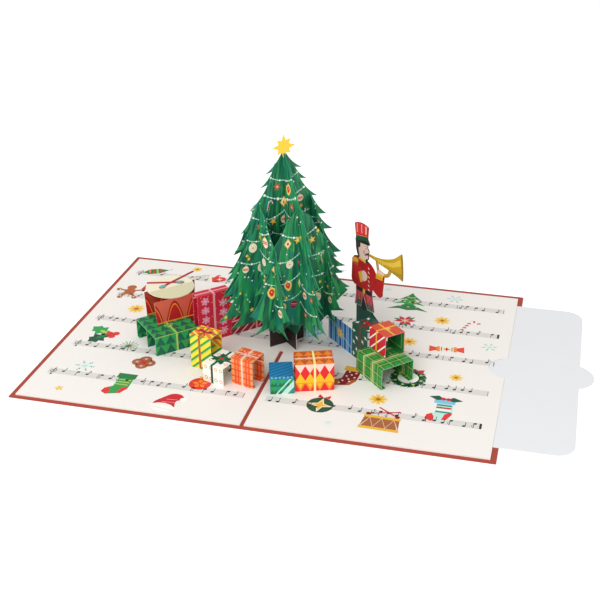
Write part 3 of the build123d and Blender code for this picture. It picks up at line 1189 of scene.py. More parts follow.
    def sock(self, body: Ink, cuff: Ink, heel: Ink) -> Shapes:
        """A hanging sock.

        Args:
            body: ink of the leg.
            cuff: ink of the cuff.
            heel: ink of the heel and the toe.

        Returns:
            Its shapes.
        """
        leg = [
            (2.2, 4.0), (-2.0, 4.0), (-2.0, -1.2), (-3.9, -2.6), (-4.2, -4.4), (-2.6, -5.4), (1.2, -4.2), (2.4, -1.4)
        ]
        toe = [(-2.7, -1.7), (-3.9, -2.6), (-4.2, -4.4), (-2.6, -5.4), (-1.9, -5.1), (-2.0, -3.2)]
        return [
            self.outline(body, leg, 1),
            self.outline(heel, toe, 2),
            self.outline(heel, [(2.3, -0.6), (2.4, -1.6), (1.2, -4.2), (0.0, -4.4), (0.6, -1.6)], 2),
            self.outline(cuff, [(-2.8, 3.2), (2.6, 3.2), (2.6, 5.6), (-2.8, 5.6)], 3),
        ]

    def green_sock(self) -> Shapes:
        """A green sock with stripes and red toe."""
        bands = [self.bar(Ink.LIME, 3.9, 0.5, 2, (-0.1, y)) for y in (2.4, 1.2, 0.0)]
        return self.sock(Ink.LEAF, Ink.GREEN, Ink.BRIGHT_RED) + bands

    def pale_sock(self) -> Shapes:
        """A pale banded sock with a blue cuff, holly and a red toe."""
        bands = [
            self.bar(ink, 3.9, 0.7, 2, (0, y))
            for ink, y in ((Ink.TEAL, 2.4), (Ink.RED, 1.2), (Ink.WHITE, 0.2), (Ink.TEAL, -0.8))
        ]
        berries = [self.disc(Ink.RED, 0.7, 5, (x, 5.4), sides=8) for x in (-0.6, 0.7)]
        leaves = [
            self.outline(Ink.DARK_GREEN, [(0, 5.2), (-2.0, 6.8), (-4.4, 6.0), (-2.2, 4.6)], 4),
            self.outline(Ink.DARK_GREEN, [(0, 5.2), (2.0, 6.6), (4.4, 5.4), (2.2, 4.4)], 4),
        ]
        return self.sock(Ink.PALE_TEAL, Ink.SKY, Ink.BRIGHT_RED) + bands + berries + leaves

    def dotted_sock(self) -> Shapes:
        """A dark red sock with white dots and a gold cuff."""
        dots = []
        for x, y in (
            (1.2, 2.4), (-0.8, 2.6), (0.2, 1.2), (1.4, 0.0), (-1.0, 0.2), (0.0, -1.2), (-1.4, -2.4), (0.6, -2.4),
            (-2.0, -3.8),
        ):
            dots.append(self.disc(Ink.WHITE, 0.32, 3, (x, y), sides=6))
        return self.sock(Ink.DARK_RED, Ink.GOLD, Ink.RUST) + dots

    def cap(self) -> Shapes:
        """A red winter cap with a white rim and pompon."""
        return [
            self.outline(
                Ink.RED, [(-4.0, -2.4), (4.0, -2.4), (3.4, 2.4), (5.4, 4.6), (1.4, 7.2), (-2.4, 3.4)], 1, smooth=True
            ),
            *[
                self.stroke(Ink.PINK, [(-2.8 + step, -1.4 + 2 * step), (3.0 + 0.2 * step, -0.6 + 2 * step)], 0.5, 3)
                for step in (0, 1, 2)
            ],
            self.outline(Ink.WHITE, [(-4.8, -3.6), (4.8, -3.6), (4.6, -1.8), (-4.6, -1.8)], 2, smooth=True),
            self.disc(Ink.WHITE, 1.3, 3, (5.4, 4.2), sides=10),
            self.stroke(Ink.DARK_RED, [(-4.8, -3.6), (4.8, -3.6)], 0.3, 3),
        ]

    def gingerbread(self) -> Shapes:
        """A gingerbread figure with icing buttons."""
        shapes = [
            self.disc(Ink.RUST, 1.7, 1, (0, 3.2), sides=14),
            self.disc(Ink.RUST, 2.0, 2, (0, 0), sides=14, stretch=(1, 1.2)),
        ]
        for end in ((-4.2, 1.4), (4.2, 1.4), (-2.6, -4.4), (2.6, -4.4)):
            shapes.append(self.stroke(Ink.RUST, [(0, 0.4), end], 1.9, 1))
            shapes.append(self.disc(Ink.RUST, 1.0, 2, end, sides=10))
            shapes.append(self.disc(Ink.CREAM, 0.35, 4, (end[0] * 0.9, end[1] * 0.9), sides=6))
        shapes += [self.disc(Ink.BRIGHT_RED, 0.4, 4, (0, y), sides=6) for y in (1.2, 0.0, -1.2)]
        return shapes

    def toy_drum(self) -> Shapes:
        """A small drum with laces and two sticks."""
        lace = [(-4.4, -1.8), (-2.9, 2.0), (-1.5, -1.8), (0, 2.0), (1.5, -1.8), (2.9, 2.0), (4.4, -1.8)]
        return [
            self.outline(Ink.BROWN, [(-4.6, -2.4), (4.6, -2.4), (4.2, 2.4), (-4.2, 2.4)], 1),
            self.bar(Ink.GOLD, 9.6, 1.0, 2, (0, -2.4)),
            self.bar(Ink.GOLD, 8.8, 1.0, 2, (0, 2.4)),
            self.stroke(Ink.PALE_PINK, lace, 0.6, 3),
            self.stroke(Ink.RED, [(-3.6, 3.4), (3.8, 5.8)], 0.6, 3),
            self.stroke(Ink.RED, [(3.4, 3.4), (-1.6, 6.6)], 0.6, 3),
            self.disc(Ink.DARK_RED, 0.6, 4, (-3.6, 3.4), sides=8),
            self.disc(Ink.DARK_RED, 0.6, 4, (3.4, 3.4), sides=8),
        ]

    def ornament(self) -> Shapes:
        """A dark green round ornament with a four pointed gold star and a red bow."""
        star = [(0, 3.6), (0.9, 0.9), (3.6, 0), (0.9, -0.9), (0, -3.6), (-0.9, -0.9), (-3.6, 0), (-0.9, 0.9)]
        return [
            self.disc(Ink.DARK_GREEN, 4.4, 1, sides=24),
            self.outline(Ink.CREAM, star, 2, stretch=(1.15, 1.15)),
            self.outline(Ink.GOLD, star, 3, stretch=(0.8, 0.8)),
            self.outline(Ink.RED, [(0, 4.4), (-1.9, 6.2), (-2.1, 4.2)], 2),
            self.outline(Ink.RED, [(0, 4.4), (1.9, 6.2), (2.1, 4.2)], 2),
        ]

    def red_ornament(self) -> Shapes:
        """A red round ornament with orange leaves."""
        leaf = [(0.4, 0), (1.9, 1.0), (3.4, 0), (1.9, -1.0)]
        shapes = [self.disc(Ink.BRIGHT_RED, 4.6, 1, sides=24)]
        shapes += [self.outline(Ink.ORANGE, leaf, 2, turn=heading) for _, heading in ring(5, 1, 18)]
        shapes.append(self.bar(Ink.GOLD, 1.8, 1.4, 2, (0, 4.9)))
        return shapes

    def long_ornament(self) -> Shapes:
        """A long pointed ornament in bands of red, cream and green."""
        body = [(-5.6, 0), (-2.6, 2.3), (1.6, 2.2), (5.6, 0), (1.6, -2.2), (-2.6, -2.3)]
        shapes = [self.outline(Ink.GREEN, body, 1)]
        for x, ink, height in (
            (-2.6, Ink.ORANGE, 4.4), (-1.0, Ink.RED, 4.4), (0.6, Ink.LIME, 4.3), (2.2, Ink.RED, 3.6)
        ):
            shapes.append(self.bar(ink, 0.8, height, 2, (x, 0)))
        shapes.append(self.stroke(Ink.NOTE, [(5.6, 0), (7.2, 0.4)], 0.4, 2))
        return shapes

    def biscuit(self) -> Shapes:
        """A four lobed iced biscuit."""
        shapes = [self.disc(Ink.BROWN, 2.3, 1, at, sides=14) for at, _ in ring(4, 2.1)]
        shapes.append(self.disc(Ink.BROWN, 2.6, 2, sides=14))
        shapes += [self.disc(Ink.PINK, 0.6, 3, at, sides=8) for at, _ in ring(4, 2.5)]
        shapes.append(self.star(Ink.RED, 4, 2.2, 0.8, 4, turn=45))
        return shapes

    def green_burst(self) -> Shapes:
        """A spray of green needles."""
        shapes = []
        for index, (at, heading) in enumerate(ring(14, 2.6)):
            shapes.append(self.bar(Ink.DARK_GREEN if index % 2 else Ink.LEAF, 4.8, 0.4, 1, at, heading))
        shapes.append(self.disc(Ink.RED, 0.6, 2, sides=8))
        return shapes

    def sprig(self) -> Shapes:
        """A thin twig with needles."""
        shapes = [self.stroke(Ink.DARK_GREEN, [(-5, -1), (0, 0), (5, 1.4)], 0.35, 1)]
        for index in range(-4, 5):
            for side in (-1, 1):
                end = (index + 0.9, 0.25 * index + side * 1.7)
                shapes.append(self.stroke(Ink.GREEN, [(index, 0.24 * index), end], 0.3, 2))
        return shapes

    def mitten(self) -> Shapes:
        """A red mitten with a white cuff."""
        hand = [
            (-2.4, -3.0), (2.2, -3.0), (2.6, 1.6), (1.6, 3.8), (-1.0, 4.0), (-2.4, 2.0), (-2.5, 0.6), (-4.0, 1.8),
            (-4.8, 0.6), (-2.6, -1.6),
        ]
        return [
            self.outline(Ink.BRIGHT_RED, hand, 1, smooth=True),
            self.bar(Ink.CREAM, 5.2, 1.8, 2, (-0.1, -3.6)),
            self.star(Ink.CREAM, 4, 1.5, 0.6, 3, (0.2, 1.0)),
        ]

    def cracker(self) -> Shapes:
        """A party cracker in orange and cream."""
        end = [(0, -0.9), (2.4, -1.9), (2.4, 1.9), (0, 0.9)]
        return [
            self.bar(Ink.CREAM, 6.4, 3.2, 1),
            self.bar(Ink.ORANGE, 1.0, 3.2, 2, (-2.7, 0)),
            self.bar(Ink.ORANGE, 1.0, 3.2, 2, (2.7, 0)),
            self.outline(Ink.DEEP_ORANGE, end, 2, (3.2, 0)),
            self.outline(Ink.DEEP_ORANGE, end, 2, (-3.2, 0), 180),
            self.star(Ink.RED, 4, 1.3, 0.5, 3),
            *[self.bar(Ink.NOTE, 0.25, 2.4, 2, (x, 0)) for x in (-1.7, 1.7)],
        ]

    def quaver(self) -> Shapes:
        """A note with a stem and a flag."""
        return self.crotchet() + [self.stroke(Ink.NOTE, [(0.75, 3.9), (1.7, 2.8), (1.6, 1.8)], 0.45, 2)]

    def crotchet(self) -> Shapes:
        """A note with a plain stem."""
        return [
            self.disc(Ink.NOTE, 1.0, 2, (0, 0), 25, (1, 0.78), sides=10),
            self.bar(Ink.NOTE, 0.34, 3.9, 2, (0.75, 1.95)),
        ]

    def bar_line(self) -> Shapes:
        """A thin upright line across a stave."""
        return [self.bar(Ink.NOTE, 0.28, 4.6, 1)]

    def end_bar(self) -> Shapes:
        """A thick upright line at the end of a tune."""
        return [self.bar(Ink.NOTE, 1.0, 4.8, 2)]

    def gold_ribbon(self) -> Shapes:
        """A thin pale ribbon laid slanting over a wide gift."""
        return [self.stroke(Ink.SHADED_CREAM, [(-11.9, 4.9), (0, 0.4), (11.9, -4.3)], 0.9, 1)]

    def bow(self, main: Ink, inner: Ink) -> Shapes:
        """Two loops, two tails and a knot.

        Args:
            main: ink of the ribbon.
            inner: ink inside the loops and of the knot.

        Returns:
            Its shapes.
        """
        shapes = []
        for side in (-1, 1):
            loop = [(0, 0), (side * 2.6, 2.4), (side * 4.4, 1.6), (side * 4.2, -0.6), (side * 2.0, -0.7)]
            hole = [(side * 1.4, 0.4), (side * 2.8, 1.6), (side * 3.6, 1.1), (side * 3.2, 0.0)]
            tail = [(0, 0), (side * 2.6, -3.6), (side * 1.2, -3.9), (side * 0.2, -1.4)]
            shapes.append(self.outline(main, tail, 2))
            shapes.append(self.outline(main, loop, 3))
            shapes.append(self.outline(inner, hole, 4))
        shapes.append(self.disc(inner, 0.85, 5, sides=10))
        return shapes

    def red_bow(self) -> Shapes:
        """A red bow."""
        return self.bow(Ink.RED, Ink.DARK_RED)

    def lime_bow(self) -> Shapes:
        """A pale green bow."""
        return self.bow(Ink.LIME, Ink.GREEN)

    def wine_bow(self) -> Shapes:
        """A dark red bow."""
        return self.bow(Ink.DARK_RED, Ink.RED)

    def gold_bow(self) -> Shapes:
        """A burst of gold ribbon loops."""
        shapes = [self.star(Ink.SHADED_CREAM, 9, 5.6, 0.9, 2), self.star(Ink.GOLD, 8, 3.9, 2.0, 3, turn=12)]
        shapes += [self.disc(Ink.LIGHT_GOLD, 1.1, 4, at, heading, (1, 0.5), sides=8) for at, heading in ring(5, 1.7)]
        shapes.append(self.disc(Ink.ORANGE, 0.8, 5, sides=8))
        return shapes

    def thin_bow(self) -> Shapes:
        """Fine crossed ribbon ends with a small knot."""
        shapes = [
            self.stroke(Ink.PALE_PINK, [(0, 0), (3.8 * x, 2.6 * y)], 0.55, 2)
            for x, y in ((1, 1), (-1, 1), (1, -0.8), (-1, -0.8), (0.2, 1.4), (-0.3, -1.4))
        ]
        shapes.append(self.disc(Ink.PINK, 0.8, 3, sides=8))
        return shapes

    def holly_bow(self) -> Shapes:
        """Holly leaves and berries, as a bow on a ribbon cross."""
        shapes = [self.leaf(Ink.DARK_GREEN, 6.2, 4.4, turn, 2) for turn in (28, 118, 205, 300)]
        shapes += [self.leaf(Ink.GREEN, 4.4, 2.6, turn, 3) for turn in (75, 160, 250, 345)]
        shapes += [self.disc(Ink.RED, 0.75, 4, at, sides=8) for at, _ in ring(3, 0.8)]
        return shapes


@dataclass(frozen=True)
class StaveSheet:
    """Cream offset paper, printed with rows of faint grey staves across each leaf."""

    name: str = "cream_offset_paper"
    colour: str = "F1ECE6"
    first_row: float = -60.0
    row_pitch: float = 31.4
    line_pitch: float = 1.1
    line_width: float = 0.26
    # The grey band reaches this many line pitches to each side of a row's middle
    band_reach: float = 2.4
    band_colour: str = "E0DCD7"
    line_colour: str = "C9C5C0"
    leaves: tuple[Point, Point] = ((-118.0, -7.0), (5.0, 117.0))

    def build(self) -> bpy.types.Material:
        """Make the finish."""
        surface = Surface(self.name, 0.7)
        x = surface.along(Vector((1, 0, 0)), 0.0)
        y = surface.along(Vector((0, 1, 0)), self.first_row)
        offset = surface.repeat(y, self.row_pitch, 0.5)
        rise = surface.add("Math", {0: offset, 1: self.row_pitch}, operation="MULTIPLY")
        band = {0: rise, 1: 0.0, 2: self.band_reach * self.line_pitch}
        row = surface.add("Math", band, operation="COMPARE")
        near = surface.repeat(rise, self.line_pitch, 0.5)
        half = self.line_width / self.line_pitch / 2
        line = surface.add("Math", {0: near, 1: 0.0, 2: half}, operation="COMPARE")
        leaf: Value = 0.0
        for left, right in self.leaves:
            inside = surface.between(x, left, right)
            leaf = surface.add("Math", {0: leaf, 1: inside}, operation="MAXIMUM")
        printed = surface.add("Math", {0: row, 1: leaf}, operation="MULTIPLY")
        tone = surface.blend(printed, linear(self.colour), linear(self.band_colour))
        drawn = surface.add("Math", {0: printed, 1: line}, operation="MULTIPLY")
        tone = surface.blend(drawn, tone, linear(self.line_colour))
        return surface.finish(surface.fibres(tone, 0.015, size=0.3, bump=0.02))


@dataclass
class Page:
    """Cover, page and pull out card, and all that is printed flat on the page."""

    note_size: float = 0.95
    seed: int = 11
    icons: tuple[tuple[str, float, float, float, float], ...] = (
        ("pine", 60.1, 65.7, 2.1, 0),
        ("poinsettia", 61.2, 40.9, 1.35, 10),
        ("snowflake", 86.4, 75.3, 1.0, 0),
        ("snowflake", 112.8, 20.8, 0.9, 15),
        ("snowflake", 44.1, 79.2, 0.5, 8),
        ("snowflake", 41.8, -74.5, 0.38, 8),
        ("sun_star", 82.6, 46.0, 1.1, 0),
        ("sun_star", 67.6, 16.5, 1.1, 9),
        ("sun_star", 62.1, -47.3, 1.15, 0),
        ("sun_star", 98.7, -16.4, 0.85, 5),
        ("candy_cane", 100.4, 42.7, 1.65, -20),
        ("cracker", 89.7, 12.9, 1.75, 6),
        ("wreath", 73.7, -22.4, 1.9, -14),
        ("dotted_sock", 43.0, -29.0, 1.9, -6),
        ("toy_drum", 67.2, -68.9, 2.15, -2),
        ("ornament", 33.9, -59.6, 1.6, -4),
        ("pale_sock", 96.4, -50.0, 2.0, 0),
        ("long_ornament", -106.3, 69.6, 1.5, 24),
        ("gingerbread", -111.7, 38.8, 1.75, 8),
        ("cap", -102.5, 44.5, 0.9, 24),
        ("sun_star", -98.9, 17.9, 1.2, 0),
        ("sun_star", -81.3, 78.3, 0.75, 0),
        ("gold_star", -104.3, -75.9, 0.55, 6),
        ("holly", -102.5, -15.2, 1.7, 0),
        ("sprig", -75.2, 69.5, 1.0, 10),
        ("mitten", -64.0, 67.4, 1.3, -70),
        ("green_burst", -85.8, -25.2, 1.1, 0),
        ("snowflake", -100.6, -51.5, 1.15, 0),
        ("biscuit", -70.6, -40.6, 1.55, 0),
        ("green_sock", -73.5, -64.8, 1.95, 0),
        ("cap", -44.4, -76.5, 1.4, -6),
        ("red_ornament", -33.1, -54.4, 1.3, 10),
        ("poinsettia", -58.0, 42.0, 1.2, 0),
        ("candy_cane", -74.0, 22.0, 1.2, -14),
    )

    def build(self, motifs: Motifs) -> None:
        """Give the three flat pieces their paper and stamp the print on the page.

        Args:
            motifs: ornaments to stamp.
        """
        sheet = StaveSheet()
        assign("cover", PlainCard("dyed_red_card", "A84535", 0.75, 0.03).build())
        assign("page", sheet.build())
        assign("note_card", PlainCard("smooth_white_card", "E7E8EA", 0.6, 0.012).build())
        face = Face(UP * PAGE_TOP, Vector((1, 0, 0)), Vector((0, 1, 0)), 248.0, 171.4)
        ink = Print("page_print", "cream_paper")
        for name, x, y, size, turn in self.icons:
            ink.stamp(motifs.get(name), face, (x, y), size, turn)
        dice = random.Random(self.seed)
        for row in range(5):
            height = sheet.first_row + row * sheet.row_pitch
            for left, right in sheet.leaves:
                place = left + 2.5
                if left < 0:
                    ink.stamp(motifs.get("clef"), face, (place, height), 1.1)
                    place += 6.0
                while place < right - 3:
                    name = "quaver" if dice.random() < 0.35 else "crotchet"
                    line = dice.randrange(-3, 4) * sheet.line_pitch / 2
                    # Notes well above the middle line hang their stems
                    turn = 180 if line > 0.6 else 0
                    ink.stamp(motifs.get(name), face, (place, height + line), self.note_size, turn)
                    place += dice.choice((4.2, 5.4, 6.6, 8.4))
                motif = motifs.get("bar_line")
                for share in (0.26, 0.5, 0.75, 1.0):
                    ink.stamp(motif, face, (left + (right - left) * share, height))
                if left > 0 and row in (0, 3):
                    ink.stamp(motifs.get("end_bar"), face, (right - 0.6, height))
        ink.finish()


@dataclass
class Tree:
    """Six slotted slices of printed foliage with garlands and ornaments, and the star on top."""

    seed: int = 29
    swag_length: float = 17.0
    # Garlands and ornaments hang lower by this share of their distance from the trunk
    sag: float = 0.05
    # An ornament of size one reaches this far, and hangs this far below its row
    ornament_reach: float = 5.4
    hang: float = 4.6
    small_tries: int = 150
    rows: tuple[float, ...] = (22.0, 33.5, 45.5, 58.0, 70.0, 81.5, 92.0, 101.0)
    hung: tuple[tuple[str, float], ...] = (
        ("round_bauble", 0.6),
        ("gold_star", 0.42),
        ("red_bauble", 0.72),
        ("candy_cane", 0.7),
        ("lozenge_bauble", 0.6),
        ("cream_bauble", 0.56),
        ("round_bauble", 0.5),
        ("dark_bauble", 0.55),
        ("red_bauble", 0.66),
        ("pink_flower", 0.7),
    )

    def on_card(self, piece: Piece, face: Face, at: Point, radius: float) -> bool:
        """Whether a round motif lies wholly on the card, but for the width of a slot.

        Args:
            piece: node of the slice.
            face: its printed side.
            at: middle of the motif.
            radius: of the motif, in millimetres.

        Returns:
            True where it does.
        """
        missed = 0
        for offset, _ in ring(10, radius) + [((0.0, 0.0), 0.0)]:
            start = face.point(at[0] + offset[0], at[1] + offset[1], 2.0) * MM
            if not piece.ray_cast(start, -face.normal, distance=4 * MM)[0]:
                missed += 1
        return missed <= 1

    def reach(self, piece: Piece, face: Face, height: float, side: int) -> float:
        """How far the foliage reaches to one side at a height.

        Args:
            piece: node of the slice.
            face: its printed side.
            height: above the slice's foot.
            side: -1 for the left, 1 for the right.

        Returns:
            The distance from the middle in whole millimetres, 60 at most.
        """
        distance = 0.0
        while self.on_card(piece, face, (side * (distance + 1.0), height), 0.4) and distance < 60:
            distance += 1.0
        return distance

    def decorate(self, name: str, heading: float, motifs: Motifs, dice: random.Random) -> None:
        """Print garlands, ornaments, stars and snow on both sides of a slice.

        Args:
            name: of the slice's node.
            heading: of the slice.
            motifs: ornaments to stamp.
            dice: seeded source of the small irregularities.
        """
        place = Standing(name, heading)
        ink = Print(name + "_print", "tree_card")
        for face in (place.front_face(0.0), place.rear_face(0.0)):
            taken: list[tuple[float, float, float]] = []
            for height in self.rows:
                left = self.reach(piece=place.piece, face=face, height=height, side=-1)
                right = self.reach(piece=place.piece, face=face, height=height, side=1)
                if left + right < 5:
                    continue
                count = max(1, round((left + right) / self.swag_length))
                length = (left + right) / count
                for number in range(count):
                    middle = -left + (number + 0.5) * length
                    lean = -0.22 * middle if abs(middle) > 4 else 0.0
                    drop = self.sag * abs(middle)
                    at = (middle, height - drop)
                    if self.on_card(place.piece, face, at, 0.36 * length):
                        ink.stamp(motifs.get("swag"), face, at, length / 12, max(-9.0, min(9.0, lean)))
                for number in range(3 * (2 * count + 1)):
                    joint = -left + (number // 3) * length / 2
                    name_size = self.hung[dice.randrange(len(self.hung))]
                    size = name_size[1] * dice.uniform(0.9, 1.2)
                    radius = self.ornament_reach * size
                    if abs(joint) > 6:
                        inwards = -math.copysign(min(abs(joint), radius * 0.9), joint)
                    else:
                        inwards = dice.uniform(-2, 2)
                    at = (joint + inwards, height - self.sag * abs(joint) - self.hang - dice.uniform(0, 1.6))
                    if any(math.dist(at, other[:2]) < other[2] + radius for other in taken):
                        continue
                    if self.on_card(place.piece, face, at, radius * 0.75):
                        taken.append((at[0], at[1], radius))
                        ink.stamp(motifs.get(name_size[0]), face, at, size, dice.uniform(-14, 14))
            for _ in range(self.small_tries):
                at = (dice.uniform(-40, 40), dice.uniform(14, 100))
                if any(math.dist(at, other[:2]) < other[2] + 0.8 for other in taken):
                    continue
                if self.on_card(place.piece, face, at, 0.8):
                    kind = dice.choice(("white_dot", "white_dot", "pale_dot", "pale_dot", "white_dot", "gold_star"))
                    limits = (0.2, 0.32) if kind == "gold_star" else (0.55, 0.95)
                    size = dice.uniform(*limits)
                    taken.append((at[0], at[1], 1.2))
                    ink.stamp(motifs.get(kind), face, at, size, dice.uniform(0, 70))
        ink.finish()

    def build(self, motifs: Motifs) -> None:
        """Print all six slices and the star.

        Args:
            motifs: ornaments to stamp.
        """
        dice = random.Random(self.seed)
        for family, heading in (("tree_slice_", WING), ("tree_cross_", -WING)):
            for part in ("front", "middle", "rear"):
                name = family + part
                assign(name, PaintedNeedles(name, heading).build())
                self.decorate(name, heading, motifs, dice)
        assign("tree_star", WrappingPaper("tree_star", WING, Ink.STAR_GOLD).build())


@dataclass
class Gifts:
    """Folded gifts of the two wings and of the front edge."""

    def papers(self) -> list[WrappingPaper]:
        """Gift wrap of each piece."""
        return [
            WrappingPaper("triangle_gift", WING, Ink.LIT_GREEN, (
                Stripes(Ink.LEAF, 11.3, 0.5, 90),
                Lozenges(Ink.JADE, 6.0, 5.65, 0.5, 1),
                Lozenges(Ink.PINE, 6.0, 5.65, 0.24, 1),
                Band(Ink.LIME, 13.0, 1.1),
                Band(Ink.LIME, 11.3, 0.5, upright=False),
            )),
            WrappingPaper("triangle_gift_rib", WING, Ink.LEAF, (Lozenges(Ink.JADE, 6.0, 5.65, 0.5, 1),)),
            WrappingPaper("snowflake_gift", WING, Ink.CRIMSON, (
                Spots(Ink.ORANGE, 4.4, 0.4),
                Band(Ink.PINK, 10.2, 1.3),
                Band(Ink.PINK, 29.6 + 3.1, 1.1, upright=False),
            )),
            WrappingPaper("crimson_gift", WING, Ink.DARK_RED, (
                Stripes(Ink.PINK, 3.4, 0.26, -48),
                Band(Ink.RED, 16.0, 2.4),
                Band(Ink.PINK, 16.0, 1.0),
                Band(Ink.RED, 8.4, 2.0, upright=False),
                Band(Ink.PINK, 8.4, 0.8, upright=False),
            )),
            WrappingPaper("blue_gift", -WING, Ink.BLUE, (
                Stripes(Ink.SKY, 4.9, 0.2, offset=-0.4),
                Stripes(Ink.DARK_BLUE, 4.9, 0.22, offset=-2.2),
                Stripes(Ink.PALE_BLUE, 4.9, 0.1, offset=-3.9),
            )),
            WrappingPaper("starry_gift", -WING, Ink.DARK_GREEN, (
                Band(Ink.WINE, 7.4, 1.7),
                Band(Ink.WINE, 20.9 + 6.0, 1.6, upright=False),
            )),
            WrappingPaper("plaid_gift", -WING, Ink.LEAF, (
                Stripes(Ink.PLAID, 6.2, 0.46),
                Stripes(Ink.PLAID, 6.2, 0.46, 90),
                Stripes(Ink.LIME, 6.2, 0.07, offset=-1.2),
                Stripes(Ink.LIME, 6.2, 0.07, 90, -1.2),
                Band(Ink.PALE_LIME, 6.9, 1.0),
                Band(Ink.PALE_LIME, 8.4, 0.35),
                Band(Ink.PALE_LIME, 15.3, 1.0),
                Band(Ink.PALE_LIME, 16.8, 0.35),
            )),
            WrappingPaper("red_striped_gift", -WING, Ink.RED, (
                Stripes(Ink.WHITE, 4.4, 0.18, -46),
                Band(Ink.TOP_RED, 13.0 + 6.2, 12.4, upright=False),
                Lozenges(Ink.RUST, 5.0, 5.2, 0.34, lowest=13.3),
                Band(Ink.GOLD, 6.4, 1.0),
                Band(Ink.GOLD, 13.0 + 5.6, 0.9, upright=False),
            ), Ink.PLAID, (
                Stripes(Ink.GREEN, 5.0, 0.5),
                Band(Ink.LIME, 2.4, 0.4, lowest=2.0, highest=10.5),
                Band(Ink.LIME, 12.6, 0.4, lowest=2.0, highest=10.5),
                Band(Ink.LIME, 2.2, 0.4, False, 2.4, 12.6),
                Band(Ink.LIME, 10.4, 0.4, False, 2.4, 12.6),
            )),
            WrappingPaper("corner_gift", WING, Ink.PALE_TEAL, (
                Lozenges(Ink.SKY, 3.0, 2.9, 0.5, 1),
                Band(Ink.TEAL, 5.3, 1.2),
            )),
            WrappingPaper("yellow_gift", -14.0, Ink.YELLOW, (
                Stripes(Ink.LEAF, 3.5, 0.36, -48, highest=20.3),
                Stripes(Ink.LIME, 3.5, 0.08, -48, -1.6, highest=20.3),
                Stripes(Ink.ORANGE, 3.4, 0.6, 55, lowest=20.3),
                Lozenges(Ink.RUST, 5.6, 4.6, 0.2, lowest=20.3),
                Band(Ink.RUST, 5.9, 1.4),
                Band(Ink.RUST, 20.3 + 5.6, 1.3, upright=False),
            )),
            WrappingPaper("white_gift", -19.5, Ink.WHITE, (
                Spots(Ink.LIME, 6.6, 1.15, 0.6, (0.2, 0.1)),
                Spots(Ink.PEACH, 6.6, 1.15, 0.55, (0.7, 0.1)),
                Band(Ink.DARK_GREEN, 6.0, 1.5),
                Band(Ink.DARK_GREEN, 11.0 + 8.2, 1.5, upright=False),
            )),
            WrappingPaper("orange_gift", -16.5, Ink.LIT_ORANGE, (
                *[Band(Ink.AMBER, at, 2.3) for at in (0.6, 6.9, 13.2)],
                *[Band(Ink.DEEP_ORANGE, at, 0.75) for at in (2.5, 4.4, 9.3, 11.2)],
                *[
                    Band(Ink.DEEP_ORANGE, at, 0.85, upright=False)
                    for at in (1.6, 4.9, 8.8, 12.3, 15.6, 19.5, 23.0, 26.4)
                ],
                Band(Ink.PALE_PINK, 6.7, 0.9),
                Band(Ink.PALE_PINK, 16.3 + 5.6, 0.8, upright=False),
            )),
            WrappingPaper("teal_gift", 18.0, Ink.TEAL, (
                Lozenges(Ink.PINE, 4.2, 4.45, 0.5, 1, highest=8.9),
                Lozenges(Ink.LIT_GREEN, 4.2, 4.45, 0.4, -1, highest=8.9),
                Stripes(Ink.PALE_TEAL, 14.4, 0.18, -40, -4.4, highest=8.9),
                Stripes(Ink.PALE_TEAL, 14.4, 0.05, -40, -2.2, highest=8.9),
                Stripes(Ink.TEAL, 14.4, 0.12, -40, -7.2, highest=8.9),
                Band(Ink.DEEP_BLUE, 8.9 + 8.9, 17.8, upright=False),
                Stripes(Ink.SEA, 2.6, 0.24, -62, lowest=8.9),
                Lozenges(Ink.SKY, 2.1, 3.0, 0.42, lowest=8.9, highest=11.6),
            )),
            WrappingPaper("diamond_gift", 19.0, Ink.ORANGE, (
                Band(Ink.PALE_PINK, 13.6, 5.5, upright=False),
                Band(Ink.SUNNY, 8.0, 5.7, upright=False),
                Lozenges(Ink.LIT_RED, 5.1, 9.0, 0.5, shift=(0.5, 0.2889), lowest=6.4, highest=15.6),
                Lozenges(Ink.LIT_RED, 5.1, 4.8, 0.5, 1, (0.5, 0.0), highest=4.7),
                Lozenges(Ink.SUNNY, 5.1, 4.8, 0.3, -1, (0.0, 0.0), highest=4.7),
                Band(Ink.TERRACOTTA, 16.4, 0.5, upright=False),
                Band(Ink.ORANGE, 16.3 + 7.0, 14.0, upright=False),
                Lozenges(Ink.TERRACOTTA, 5.1, 4.5, 0.5, -1, (0.5, 0.35), lowest=16.4),
                Band(Ink.PALE_PINK, 16.3 + 6.4, 0.9, upright=False),
                Band(Ink.LIGHT_YELLOW, 10.2, 1.2),
            )),
        ]

